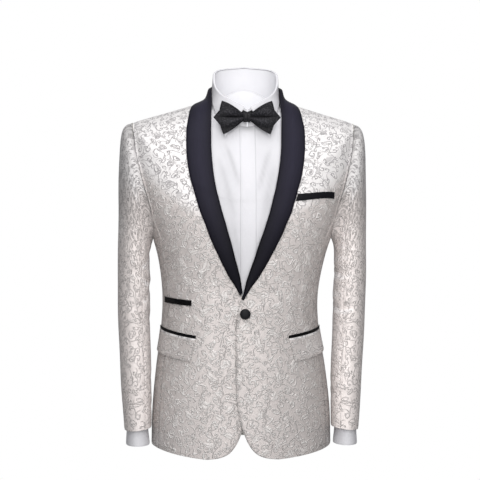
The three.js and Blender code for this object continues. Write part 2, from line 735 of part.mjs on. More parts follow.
const BOW = { x: 2, z: -39, waistFront: -86.9, waistBack: -82.3, forward: 6.5, sag: 1.6, cloth: 1.5 };
const FRONT_WING = { end: 66.5, pointed: 13, lobe: 3 };
const BACK_WING = { end: 53.5, rounded: 7, slant: 1.5 };
const KNOT = { halfWidth: 8, halfHeight: 10.5, halfDepth: 10, pinch: 0.07, y: -83, cloth: 1.5 };
const BAND = { low: 0.42, high: 0.85, gap: 0.35 };

// Half height of each layer from the waist, at 0, to the end of a wing, at 1
const frontLoop = smoothTable("along height", [
  [0, 6.4],
  [0.14, 6.8],
  [0.4, 14.5],
  [0.7, 19.5],
  [0.88, 20],
  [1, 15],
]);
const backLoop = smoothTable("along height", [
  [0, 8.2],
  [0.16, 8.4],
  [0.45, 18.5],
  [0.75, 26.5],
  [1, 31],
]);

// One layer of the bow, from wing tip to wing tip. Over and under its middle crease it stands forward.
function bowLayer(loop, endAt, waist, lobe) {
  const across = steps(18, -1, 1);
  const grid = across.map((u) => {
    const along = Math.abs(u);
    return steps(4, -1, 1).map((w) => {
      const x = BOW.x + u * endAt(w);
      const z = BOW.z - BOW.sag * along + w * loop(along).height;
      const crease = Math.abs(Math.sin(Math.PI * w * 0.9));
      const puffed = lobe * Math.sin(Math.PI * clamp(along, 0, 1)) * crease;
      const forward = BOW.forward * ease(along, 0.05, 0.7) + puffed;
      return new THREE.Vector3(x, waist - forward, z);
    });
  });
  return wallAbout(grid, BOW.cloth);
}

{
  const frontEnd = (w) => FRONT_WING.end - FRONT_WING.pointed * Math.abs(w);
  const backEnd = (w) => BACK_WING.end - BACK_WING.rounded * w * w + BACK_WING.slant * w;
  add("bow_front", bowLayer(frontLoop, frontEnd, BOW.waistFront, FRONT_WING.lobe), BLACK_BROCADE);
  add("bow_back", bowLayer(backLoop, backEnd, BOW.waistBack, 0), BLACK_BROCADE);
}

// The knot is a band wrapped round the waist of both layers.
{
  const grid = steps(4, -1, 1).map((w) => {
    const pinch = 1 - KNOT.pinch * (1 - w * w);
    return steps(16, 0, 360)
      .slice(0, -1)
      .map((round) => {
        const y = KNOT.y + KNOT.halfDepth * pinch * cosine(round);
        const z = BOW.z + KNOT.halfHeight * pinch * sine(round);
        return new THREE.Vector3(BOW.x + w * KNOT.halfWidth, y, z);
      });
  });
  add("bow_knot", wallAbout(grid, KNOT.cloth, true), BLACK_BROCADE);
}

// The neck band runs round the stand, under the leaf.
{
  const turns = steps(24, 0, 360).slice(0, -1);
  const ringAt = (up, out) => turns.map((turn) => standPoint(turn, up, out));
  const layer = (out) => [BAND.low, BAND.high].map((up) => ringAt(up, out));
  const inside = COLLAR_STAND_CLOTH / 2 + BAND.gap;
  add("bow_band", wall(layer(inside + BAND_CLOTH), layer(inside), true), BLACK_BROCADE);
}

export default garment;
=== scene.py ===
# The finish of a white jacquard dinner jacket over a dress shirt and a bow tie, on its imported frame.
# Shapes are worked out in millimetres in the frame's own axes: the front faces -Y, the wearer's left is +X.
import math

import bpy
import numpy as np
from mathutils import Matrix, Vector


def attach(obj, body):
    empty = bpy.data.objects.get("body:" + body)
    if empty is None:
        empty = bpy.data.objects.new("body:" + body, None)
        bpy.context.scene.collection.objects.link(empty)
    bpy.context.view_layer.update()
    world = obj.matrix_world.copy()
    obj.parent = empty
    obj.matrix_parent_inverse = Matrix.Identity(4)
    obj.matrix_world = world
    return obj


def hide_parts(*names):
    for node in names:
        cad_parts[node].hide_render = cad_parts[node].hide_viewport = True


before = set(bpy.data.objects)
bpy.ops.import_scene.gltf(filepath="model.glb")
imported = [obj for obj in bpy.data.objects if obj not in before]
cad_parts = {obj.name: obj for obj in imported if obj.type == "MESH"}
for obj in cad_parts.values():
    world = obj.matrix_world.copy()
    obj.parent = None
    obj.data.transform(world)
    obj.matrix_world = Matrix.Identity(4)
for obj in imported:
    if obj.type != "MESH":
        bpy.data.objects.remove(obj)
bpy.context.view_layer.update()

# Cloth and the room between pieces
JACKET_CLOTH = 2.0
SATIN = 2.0
SHIRT_CLOTH = 1.0
BAND_CLOTH = 0.6
SEAM = 0.3
LAYER = 0.5
POCKET_LAYER = 0.9
LAPEL_LAYER = 1.2

# Seams on the jacket's skin, as turns in degrees and levels down from the neck
HEM_LEVEL = 14.0
NECK_LEVEL = 0.04
SIDE_SEAM_TURN = 64.0
ARMHOLE = {"turn": 90, "level": 6.15, "turns": 33, "levels": 2.1}
SHIRT_ARMHOLE = {"turn": 90, "level": 6.05, "turns": 31, "levels": 1.9}

# Photograph: 480 pixels across, seen level from three metres, a little from the wearer's right
CAMERA = {
    "distance": 3000.0, "turn": -3.0, "height": -282.0, "aside": -7.1, "mm_per_pixel": 2.03, "pixels": 480,
}
SENSOR = 36.0

SIDES = ((1, "left"), (-1, "right"))


def sine(turn):
    return np.sin(np.radians(turn))


def cosine(turn):
    return np.cos(np.radians(turn))


def mix(a, b, share):
    return a + (b - a) * share


def ease(x, start, end):
    t = np.clip((np.asarray(x, float) - start) / (end - start), 0, 1)
    return t * t * (3 - 2 * t)


def bell(x, middle, width):
    return np.exp(-(((np.asarray(x, float) - middle) / width) ** 2))


def smooth_table(rows):
    """Reads a table whose first column says where each row stands. The others run smoothly between rows."""
    rows = np.array(rows, float)
    at, columns = rows[:, 0], rows[:, 1:]
    index = np.arange(len(at))
    before, after = np.maximum(index - 1, 0), np.minimum(index + 1, len(at) - 1)
    slope = (columns[after] - columns[before]) / (at[after] - at[before])[:, None]

    def read(x):
        x = np.asarray(x, float)
        row = np.clip(np.searchsorted(at, x, side="left"), 1, len(at) - 1)
        span = (at[row] - at[row - 1])[..., None]
        t = np.clip((x - at[row - 1]) / (at[row] - at[row - 1]), 0, 1)[..., None]
        value = (2 * t**3 - 3 * t**2 + 1) * columns[row - 1] + (t**3 - 2 * t**2 + t) * span * slope[row - 1]
        value += (3 * t**2 - 2 * t**3) * columns[row] + (t**3 - t**2) * span * slope[row]
        return np.moveaxis(value, -1, 0)

    return read


# Rings of the jacket: level, middle, half, front, back, z at the front, side and back
jacket_ring = smooth_table([
    [-1, 4, 72.5, 80, 64, -20, 30, 51],
    [0, 3, 78, 86, 68, -55, 0, 17],
    [1, 1, 112, 99, 90, -98, -12, -16],
    [2, 0, 150, 109, 104, -134, -23.5, -54],
    [3, -1, 188, 116, 114, -166, -34.5, -92],
    [4, -1.5, 222, 120, 120, -194, -46, -128],
    [4.4, -1.5, 230, 120.5, 121.5, -204, -55, -141],
    [5, -1.5, 236, 122, 124, -218, -92, -160],
    [6, -1.5, 230, 124, 126, -240, -150, -192],
    [7, -2, 208, 125, 126, -262, -212, -226],
    [8, -3, 185, 124, 123, -290, -266, -266],
    [9, -4.5, 168, 120, 113, -332, -322, -322],
    [10, -7, 157.5, 113, 101, -394, -390, -390],
    [11, -7.5, 159.5, 112, 103, -462, -455, -455],
    [12, -6, 171, 115, 116, -547, -535, -538],
    [13, -5, 179, 118, 122, -632, -615, -618],
    [14, -5, 181.5, 121, 124, -714, -692, -694],
])

# How much smaller the shirt is: level, half, front, back, then its drop at the front, side and back
shirt_ease = smooth_table([
    [0, 14, 11.5, 14, 1, 4, -12],
    [1, 8, 8, 9, 8, 6, 5],
    [2, 3, 8, 8, 7, 2.4, 2.4],
    [3, 2.5, 8.5, 8, 6.5, 2.2, 2.2],
    [4, 6, 9, 7.5, 6, 7, 7],
    [6, 7, 11, 7, 5, 6, 6],
    [8, 7, 13, 7, 0, 0, 0],
    [14, 7, 13, 7, 0, 0, 0],
])


def shirt_ring(level):
    middle, half, front, back, z_front, z_side, z_back = jacket_ring(level)
    return np.array([middle, *(np.array([half, front, back, z_front, z_side, z_back]) - shirt_ease(level))])


SQUARENESS = 0.1


class Skin:
    """A family of closed rings. Turn 0 is the middle of the front, 90 the wearer's left, 180 the back."""

    def __init__(self, ring):
        self.ring = ring

    def point(self, turn, level):
        turn, level = np.broadcast_arrays(np.asarray(turn, float), np.asarray(level, float))
        middle, half, front, back, z_front, z_side, z_back = self.ring(level)
        s, c = sine(turn), cosine(turn)
        depth = np.where(c > 0, front, back)
        z_end = np.where(c > 0, z_front, z_back)
        x = middle + half * s * (1 + SQUARENESS * c * c)
        y = -depth * c * (1 + SQUARENESS * s * s)
        return np.stack([x, y, mix(z_side, z_end, c * c)], -1)

    def normal(self, turn, level):
        around = self.point(turn + 0.5, level) - self.point(turn - 0.5, level)
        down = self.point(turn, level + 0.02) - self.point(turn, level - 0.02)
        return unit(np.cross(down, around))

    def over(self, turn, level, out):
        return self.point(turn, level) + self.normal(turn, level) * np.asarray(out, float)[..., None]


def unit(vectors):
    return vectors / np.maximum(np.linalg.norm(vectors, axis=-1, keepdims=True), 1e-9)


jacket_skin = Skin(jacket_ring)
shirt_skin = Skin(shirt_ring)


def bisect(low, high, too_low, like):
    low, high = np.full(np.shape(like), float(low)), np.full(np.shape(like), float(high))
    for _ in range(30):
        middle = (low + high) / 2
        up = too_low(middle)
        low, high = np.where(up, middle, low), np.where(up, high, middle)
    return (low + high) / 2


def turn_at(skin, level, x):
    """The turn on the front of a skin where a level has a given x."""
    return bisect(-90, 90, lambda turn: skin.point(turn, level)[..., 0] < x, level)


def place_at(skin, z, x_at):
    """The (turn, level) on the front of a skin at a height, where x may follow the level."""
    def is_above(level):
        return skin.point(turn_at(skin, level, x_at(level)), level)[..., 2] > z

    level = bisect(-1, HEM_LEVEL, is_above, z)
    return turn_at(skin, level, x_at(level)), level


def seen_at(x, z):
    x, z = np.asarray(x, float), np.asarray(z, float)
    return place_at(jacket_skin, z, lambda level: x)


def own_at(x, z):
    """The same on the jacket, with x counted from the middle of its rings."""
    x, z = np.asarray(x, float), np.asarray(z, float)
    return place_at(jacket_skin, z, lambda level: x + jacket_ring(level)[0])


def height_at(turn, z):
    turn, z = np.asarray(turn, float), np.asarray(z, float)
    return turn, bisect(0, HEM_LEVEL, lambda level: jacket_skin.point(turn, level)[..., 2] > z, z)


# Meshes

def shares(count, reach=1.0):
    """Even shares from 0 to 1, with a few more close to both ends so that the edges can round off."""
    even = np.linspace(0, 1, count + 1)
    near = np.array([0.12, 0.3, 0.6]) / count * reach
    return np.unique(np.concatenate([even, near, 1 - near]))


def edge_distances(grid):
    """How far each point is from the first and last row and from the first and last column."""
    down, over = arc_lengths(grid, 0), arc_lengths(grid, 1)
    return down, down[-1:] - down, over, over[:, -1:] - over


def edge_dip(grid, ends=(1, 1, 1, 1), depth=0.7, reach=2.2):
    """How far the outer face rounds down at a panel's edges: first and last row, first and last column."""
    return depth * np.max([end * bell(d, 0, reach) for end, d in zip(ends, edge_distances(grid))], axis=0)


def wall(outer, inner, tube=False):
    """A closed wall between two matching grids of points: its vertices and faces, wound to face out."""
    rows, columns = outer.shape[:2]
    points = np.concatenate([outer.reshape(-1, 3), inner.reshape(-1, 3)])
    number = np.arange(rows * columns).reshape(rows, columns)
    if tube:
        number = np.concatenate([number, number[:, :1]], 1)
    shift = rows * columns
    a, b, c, d = number[:-1, :-1], number[1:, :-1], number[1:, 1:], number[:-1, 1:]
    front = np.stack([a, b, c, d], -1).reshape(-1, 4)
    faces = [front, front[:, ::-1] + shift]
    top, bottom = number[0], number[-1]
    faces.append(np.stack([top[1:], top[1:] + shift, top[:-1] + shift, top[:-1]], -1))
    faces.append(np.stack([bottom[:-1], bottom[:-1] + shift, bottom[1:] + shift, bottom[1:]], -1))
    if not tube:
        first, last = number[:, 0], number[:, -1]
        faces.append(np.stack([first[:-1], first[:-1] + shift, first[1:] + shift, first[1:]], -1))
        faces.append(np.stack([last[1:], last[1:] + shift, last[:-1] + shift, last[:-1]], -1))
    faces = np.concatenate(faces)
    corner = points[faces]
    volume = np.einsum("ij,ij->i", corner[:, 0], np.cross(corner[:, 1], corner[:, 2])).sum()
    volume += np.einsum("ij,ij->i", corner[:, 0], np.cross(corner[:, 2], corner[:, 3])).sum()
    return points, faces if volume > 0 else faces[:, ::-1], len(front)


def grid_normals(grid, tube=False):
    along = np.empty_like(grid)
    along[1:-1] = grid[2:] - grid[:-2]
    along[0], along[-1] = grid[1] - grid[0], grid[-1] - grid[-2]
    if tube:
        across = np.roll(grid, -1, 1) - np.roll(grid, 1, 1)
    else:
        across = np.empty_like(grid)
        across[:, 1:-1] = grid[:, 2:] - grid[:, :-2]
        across[:, 0], across[:, -1] = grid[:, 1] - grid[:, 0], grid[:, -1] - grid[:, -2]
    return unit(np.cross(along, across))


def arc_lengths(grid, axis):
    steps = np.linalg.norm(np.diff(grid, axis=axis), axis=-1)
    pad = [(0, 0), (0, 0)]
    pad[axis] = (1, 0)
    return np.cumsum(np.pad(steps, pad), axis)


def own_uv(grid):
    """Millimetres across and along a grid, for pieces whose grain follows their own length."""
    return np.stack([arc_lengths(grid, 1), arc_lengths(grid, 0)], -1)


def added(name, data):
    """A new object in the scene."""
    made = bpy.data.objects.new(name, data)
    bpy.context.scene.collection.objects.link(made)
    return made


def build(
    name, node, outer, inner, uv, looks, slot, tube=False, flat=None, held=None, rests_on=(), tone=None
):
    """Makes a piece from its two faces. Looks are the outer face's material and the inner one's.

    A tone paints light and shade on the cloth, lightening or darkening it point by point."""
    points, faces, fronts = wall(outer, inner, tube)
    mesh = bpy.data.meshes.new(name)
    mesh.from_pydata((points / 1000).tolist(), [], faces.tolist())
    flat_uv = np.concatenate([uv.reshape(-1, 2)] * 2) / 1000
    layer = mesh.uv_layers.new(name="cloth")
    loops = np.empty(len(mesh.loops), np.int32)
    mesh.loops.foreach_get("vertex_index", loops)
    layer.data.foreach_set("uv", flat_uv[loops].astype(np.float32).ravel())
    if tone is not None:
        tones = mesh.attributes.new("tone", "FLOAT", "POINT")
        tones.data.foreach_set("value", np.concatenate([tone.ravel()] * 2).astype(np.float32))
    for look in looks:
        mesh.materials.append(look)
    which = np.zeros(len(faces), np.int32)
    which[fronts:2 * fronts] = len(looks) - 1
    mesh.polygons.foreach_set("material_index", which)
    mesh.shade_smooth()
    mesh.set_sharp_from_angle(angle=math.radians(50))
    piece = added(name, mesh)
    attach(piece, "root")
    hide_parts(node)
    if held:
        cut_area(uv, flat)
    return piece


def cut_area(uv, flat):
    """The flat area of a panel from its developed outline, in square metres."""
    ring = np.concatenate([uv[0], uv[1:, -1], uv[-1, -2::-1], uv[-2:0:-1, 0]]) / 1000
    x, y = ring[:, 0], ring[:, 1]
    area = abs(np.dot(x, np.roll(y, -1)) - np.dot(y, np.roll(x, -1))) / 2
    return float(np.clip(area, 0.3 * flat[0] * flat[1], flat[0] * flat[1]))


# Folds: soft ridges and troughs over the jacket, in millimetres outwards

# Drag lines up and out from the button on each front: reach, rise and height
DRAGS = ((150, 66, 1.7), (145, 34, 1.3), (135, 6, 1.0), (120, -24, 1.0))
BUTTON_HEIGHT = -425
# The front darts fade in below the chest and out above the hip pockets
DART = {"top": -262, "full": -300, "low": -430, "foot": -470}
# Soft swells and hollows of the back: height, then x and z with the width along each
BACK_SWELLS = (
    (-1.5, 70, 30, -380, 60), (-1.5, -70, 30, -380, 60), (1.2, 95, 26, -215, 70), (1.2, -95, 26, -215, 70),
    (-0.9, 140, 14, -235, 80), (-0.9, -140, 14, -235, 80), (-1.3, -2, 16, -400, 110),
)
# Creases inside the elbow and above the wrist: height, tilt, width and depth
SLEEVE_CREASES = (
    (-318, 26, 8, 1.3), (-352, -20, 9, 1.7), (-388, 24, 8, 1.6), (-421, -18, 9, 1.2),
    (-560, 15, 8, 0.9), (-596, -17, 8, 1.0), (-262, 18, 10, 0.8),
)
# Painted light and shade beside an edge of the cloth: how light, how far in from the edge, and how wide
RIDGE_HIGHLIGHT = (0.55, 3.4, 2.8)
ARMHOLE_SEAM_SHADE = (-0.3, 0, 0.9)
ARMHOLE_SHADE = (-0.04, 14, 9)
STITCH_SHADE = (-0.4, 3.0, 1.3)
FRONT_EDGE_SHADE = (-0.4, 0, 1.2)
HEM_SHADE_LINE = (-0.12, 9.0, 1.2)
STITCH_PITCH = 9.0
# Shade at the body's sides, and low on the wearer's left
SIDE_SHADE = 0.17
LOW_SHADE = 0.11


def body_folds(points, normals):
    x, z = points[..., 0], points[..., 2]
    front = ease(-normals[..., 1], 0.1, 0.7)
    back = ease(normals[..., 1], 0.1, 0.7)
    out = 0.35 * np.sin(x / 27 + z / 61) * np.sin(z / 74 - x / 55)
    dart = front * ease(z, DART["top"], DART["full"]) * ease(z, DART["foot"], DART["low"])
    for side in (1, -1):
        line = side * mix(118, 108, ease(z, -300, -400)) - 4
        out += dart * (0.5 * bell(x, line + side * 9, 7) - 1.1 * bell(x, line, 3.2))
        for reach, rise, high in DRAGS:
            share = np.clip(side * (x + 3) / reach, 0, 1)
            drag = bell(z, BUTTON_HEIGHT + rise * share, 7 + 9 * share)
            out += high * front * drag * share * (1 - share) * 3
    for high, at_x, width_x, at_z, width_z in BACK_SWELLS:
        out += high * back * bell(x, at_x, width_x) * bell(z, at_z, width_z)
    # Loose ripples above the hem of the back
    return out + 0.7 * back * ease(z, -520, -640) * np.sin(x / 21 + 0.6)


def line_tone(distance, line):
    light, at, width = line
    return light * bell(distance, at, width)


def body_tone(grid, normals):
    """Light and shade along the armhole, the front edge and the hem, at the sides and low on the left."""
    down, _, start, end = edge_distances(grid)
    x, z = grid[..., 0], grid[..., 2]
    armhole = sum(line_tone(end, line) for line in (RIDGE_HIGHLIGHT, ARMHOLE_SEAM_SHADE, ARMHOLE_SHADE))
    # The painted shade of the front edge's stitching comes in dots along it
    stitch = 0.6 + 0.4 * np.cos(arc_lengths(grid, 0) * 2 * np.pi / STITCH_PITCH)
    front = stitch * line_tone(start, STITCH_SHADE) + line_tone(start, FRONT_EDGE_SHADE)
    tone = armhole * ease(z, -290, -270) * ease(z, -42, -60) + front * ease(z, -400, -415)
    tone = tone - SIDE_SHADE * ease(np.abs(normals[..., 0]), 0.35, 0.85)
    tone = tone - LOW_SHADE * ease(x, 10, 80) * ease(z, -330, -480)
    return tone + line_tone(down, HEM_SHADE_LINE) * ease(z, -640, -660)


def sleeve_folds(side, points, rounds):
    z = points[..., 2]
    r = np.radians(rounds)
    out = 0.5 * np.sin(z / 33 + 2 * r) * np.sin(z / 57 - r + side)
    inner = ease(-np.cos(r - 0.45), -0.35, 0.9)
    for height, tilt, width, deep in SLEEVE_CREASES:
        line = height + tilt * np.sin(r + 0.7 * side) - 8
        out += deep * inner * (0.45 * bell(z, line + 15, width) - 0.8 * bell(z, line, width))
    # The back of the elbow
    return out + 1.1 * bell(np.sin(r), 1, 0.5) * bell(z, -372, 45)


# A skin's arcs are measured at each turn from -10 to 190, and ten times between two whole levels.
MEASURED_TURNS = np.linspace(-10, 190, 201)
MEASURED_LEVELS = np.linspace(-1, HEM_LEVEL, 151)


def measured(sums, turn, level):
    """Reads a table of sums, one row a level and one column a turn, between its entries."""
    column = np.clip(np.abs(turn) + 10, 0, 199.999)
    row = np.clip((level + 1) * 10, 0, 149.999)
    i, j = row.astype(int), column.astype(int)
    a, b = row - i, column - j
    return mix(mix(sums[i, j], sums[i, j + 1], b), mix(sums[i + 1, j], sums[i + 1, j + 1], b), a)


def horizontal_arc(skin):
    """A function giving millimetres round a skin from the middle of the front, at a turn and level."""
    grid = skin.point(MEASURED_TURNS[None, :], MEASURED_LEVELS[:, None])
    steps = np.linalg.norm(np.diff(grid[..., :2], axis=1), axis=-1)
    sums = np.concatenate([np.zeros((len(grid), 1)), np.cumsum(steps, 1)], 1)
    sums -= sums[:, 10:11]
    return lambda turn, level: np.where(turn < 0, -1, 1) * measured(sums, turn, level)


def climbing_arc(skin):
    """A function giving millimetres up a skin from the hem, less the hem's depth, at a turn and level."""
    grid = skin.point(MEASURED_TURNS[None, :], MEASURED_LEVELS[:, None])
    steps = np.linalg.norm(np.diff(grid, axis=0), axis=-1)
    sums = np.concatenate([np.zeros((1, grid.shape[1])), np.cumsum(steps, 0)])
    return lambda turn, level: measured(grid[-1:, :, 2] + sums[-1:] - sums, turn, level)


jacket_arc = horizontal_arc(jacket_skin)
shirt_arc = horizontal_arc(shirt_skin)
climbs = {skin: climbing_arc(skin) for skin in (jacket_skin, shirt_skin)}


def back_arc(turn, level):
    """Millimetres round the jacket from the centre seam of its back."""
    middle = jacket_arc(np.full(turn.shape, 180.0), level)
    return np.sign(turn) * middle - jacket_arc(turn, level)


def skin_uv(skin, arc, turn, level):
    turn, level = np.broadcast_arrays(turn, level)
    return np.stack([arc(turn, level), climbs[skin](turn, level)], -1)


# Seams

def armhole_turn(hole, level):
    up = np.clip((level - hole["level"]) / hole["levels"], -1, 1)
    return hole["turn"] - hole["turns"] * np.sqrt(1 - up * up)


def front_boundary(hole, side_turn, level):
    turn = armhole_turn(hole, level)
    return np.where(level <= hole["level"], turn, np.minimum(turn, side_turn))


def turns_for(length):
    return length / 2.3


def levels_for(length):
    return length / 58


# Jacket body

FRONT_EDGE_ROWS = [
    [0, 70, -711, 14], [1, 46, -708, 13.9], [2, 26, -699, 13.75], [3, 11, -680, 13.5],
    [4, 1, -656, 13.2], [5, -7, -628, 12.8], [6, -12, -580, 12.1], [7, -12.5, -520, 11.5],
    [8, -12.5, -460, 10.9], [9, -9.5, -424, 10.35], [10, -5, -405, 10.05], [11, 0, -398, 9.95],
    [12, 4, -386, 9.75], [13, 9.8, -361, 9.4], [14, 22.2, -317, 8.8], [15, 31, -288, 8.45],
    [16, 41, -259, 8.05], [17, 46.5, -240, 7.7], [18, 51.5, -222, 7.44], [19, 55, -207, 7.1],
    [20, 58.5, -191, 6.7], [21, 64.3, -168, 6.15], [22, 68.6, -140, 5.3], [23, 71.1, -115, 4.7],
    [24, 72.1, -98, 4.3], [25, 72.7, -80, 4.1], [26, 73.2, -68, 4.02], [27, 73.2, -50, 3],
    [28, 73, -33, 2], [29, 73.5, -21, 1], [30, 74.5, -13.5, NECK_LEVEL],
]
# Step along the front edge, then x from the middle of the rings, z, and the level at the panel's outer edge
front_edge = smooth_table(FRONT_EDGE_ROWS)
LAP = {"drop": 5.2, "outer": -90, "inner": -22, "top": -300, "full": -390}
SWING = {"out": -3, "top": -400, "full": -640}


def swing(z):
    return SWING["out"] * ease(z, SWING["top"], SWING["full"])


def settle(side, points):
    """How far a side sinks under the other one where they lap."""
    if side > 0:
        return np.zeros(points.shape[:-1])
    across = ease(points[..., 0], LAP["outer"], LAP["inner"])
    return -LAP["drop"] * across * ease(points[..., 2], LAP["top"], LAP["full"])


def skin_panel(
    name, node, skin, arc, turn, level, ends, side=0, cloth=JACKET_CLOTH, folds=None, **build_with
):
    """A panel laid on a skin over a grid of turns and levels."""
    base, normal = skin.point(turn, level), skin.normal(turn, level)
    out = settle(side, base) if side else 0.0
    if folds:
        out = out + folds(base, normal)
    build_with["tone"] = body_tone(base, normal) if skin is jacket_skin else shirt_tone(base, normal)
    dip = edge_dip(base, ends)
    outer = base + normal * (out - dip)[..., None]
    inner = base + normal * (out - cloth)[..., None]
    return build(name, node, outer, inner, skin_uv(skin, arc, turn, level), **build_with)


def jacket_fronts():
    rows = np.unique(np.concatenate([np.linspace(0, 30, 181), [0.03, 0.08, 29.95, 29.98]]))
    x, z, level = front_edge(rows)
    level = np.maximum(level, NECK_LEVEL)
    outer_turn = front_boundary(ARMHOLE, SIDE_SEAM_TURN, level) - turns_for(SEAM)
    across = shares(44)[None, :]
    for side, word in SIDES:
        edge_turn, edge_level = own_at(side * x + swing(z), z)
        turn = mix(edge_turn[:, None], side * outer_turn[:, None], across)
        levels = mix(np.maximum(edge_level, NECK_LEVEL)[:, None], level[:, None], across)
        skin_panel(
            f"front_cloth_{word}", f"jacket_front_{word}", jacket_skin, jacket_arc, turn, levels,
            (1, 1, 1, 0.2), side,
            folds=body_folds, looks=JACKET_LOOKS, slot="white_jacquard", flat=(0.3, 0.74), held="hung",
            rests_on=[f"shirt_front_{word}"],
        )


def jacket_sides():
    across = shares(22)[None, :]
    turns = mix(SIDE_SEAM_TURN + turns_for(SEAM), 180 - SIDE_SEAM_TURN - turns_for(SEAM), across)
    hole = (turns - ARMHOLE["turn"]) / ARMHOLE["turns"]
    top = ARMHOLE["level"] + ARMHOLE["levels"] * np.sqrt(1 - hole**2) + levels_for(2 * SEAM)
    levels = mix(HEM_LEVEL, top, shares(90)[:, None])
    for side, word in SIDES:
        skin_panel(
            f"side_cloth_{word}", f"jacket_side_{word}", jacket_skin, jacket_arc, side * turns, levels,
            (1, 1, 1, 1),
            folds=body_folds, looks=JACKET_LOOKS, slot="white_jacquard", flat=(0.125, 0.45), held="hung",
            rests_on=[f"shirt_front_{word}"],
        )


BACK_LEVELS = [
    14, 13.2, 12.4, 11.6, 10.8, 10, 9.2, 8.5, 7.9, 7.44, 6.8, 6.15,
    5.4, 4.8, 4.4, 4.2, 4.09, 4.02, 3, 2, 1, 0.5, NECK_LEVEL,
]


def refined(values, parts):
    """Values with even steps put in between each two."""
    values = np.asarray(values, float)
    place = np.linspace(0, len(values) - 1, (len(values) - 1) * parts + 1)
    return np.interp(place, np.arange(len(values)), values)


def jacket_backs():
    levels = refined(BACK_LEVELS, 7)[:, None]
    levels = np.concatenate([levels[:1], levels[:1] - 0.02, levels[1:]])
    seam = 180 - turns_for(SEAM / 2)
    outer = 180 - front_boundary(ARMHOLE, SIDE_SEAM_TURN, levels) + turns_for(SEAM)
    for side, word in SIDES:
        turn = side * mix(seam, outer, shares(36)[None, :])
        skin_panel(
            f"back_cloth_{word}", f"jacket_back_{word}", jacket_skin, back_arc, turn, levels, (1, 1, 1, 1),
            folds=body_folds, looks=JACKET_LOOKS, slot="white_jacquard", flat=(0.25, 0.72), held="hung",
            rests_on=["shirt_back"],
        )


# Sleeves

# Step from the armhole to the wrist, then middle, outer x and z, inner x and z, front, back
sleeve_ring = smooth_table([
    [0, -1.5, 222, -46.5, 181, -276, -72, 78],
    [1, -1.5, 235.5, -50.5, 183, -284, -78, 85],
    [2, -1.5, 244, -64, 185.5, -291, -80, 87],
    [3, -1.5, 248.5, -95, 187, -300, -81, 86],
    [4, -2, 250.5, -150, 188, -313, -79, 83],
    [5, -2.2, 251, -225, 188, -336, -75, 78],
    [6, -2.8, 251.5, -300, 187, -371, -71, 72],
    [7, -3.3, 251.5, -370, 186, -415, -67, 65],
    [8, -4, 249.5, -440, 185, -465, -66, 57],
    [9, -4.5, 245.5, -515, 182.5, -527, -69, 47],
    [10, -5, 241, -588, 181, -592, -74, 37],
    [11, -5, 235.5, -661, 181, -656, -79, 28],
])
SLEEVE_SEAMS = {"front": -126, "back": 96, "gap": 0.3}
SLEEVE_INSET = 4 * SEAM
SLEEVE_OWN_BY = 0.9
WRIST_STEP = 11
# Painted light makes the sleeves a little lighter than the body, most along the front of the arm's inner
# side, and painted shade darkens their heads
SLEEVE_LIGHT_AND_SHADE = {"all": 0.18, "left": 0.5, "right": 0.26, "head": 0.19}


def sleeve_ring_point(side, step, rounds):
    middle, out_x, out_z, in_x, in_z, front, back = sleeve_ring(step)
    inwards = (1 - cosine(rounds)) / 2
    x = middle + side * mix(out_x, in_x, inwards)
    y = mix(front, back, (1 + sine(rounds)) / 2)
    return np.stack(np.broadcast_arrays(x, y, mix(out_z, in_z, inwards)), -1)


def armhole_point(skin, hole, side, rounds, inset):
    turn = hole["turn"] + (hole["turns"] - turns_for(inset)) * sine(rounds)
    level = hole["level"] - (hole["levels"] - levels_for(inset)) * cosine(rounds)
    return skin.point(side * turn, level)


def sleeve_face(side, step, rounds, out=0.0):
    """The outer face of a jacket sleeve, and its normal."""
    def face(s, r):
        start = armhole_point(jacket_skin, ARMHOLE, side, r, SLEEVE_INSET)
        return mix(start, sleeve_ring_point(side, s, r), ease(s, 0, SLEEVE_OWN_BY)[..., None])

    step, rounds = np.broadcast_arrays(np.asarray(step, float), np.asarray(rounds, float))
    along = face(step + 0.05, rounds) - face(np.maximum(step - 0.05, 0), rounds)
    around = face(step, rounds + 1) - face(step, rounds - 1)
    normal = side * unit(np.cross(along, around))
    return face(step, rounds) + normal * np.asarray(out, float)[..., None], normal


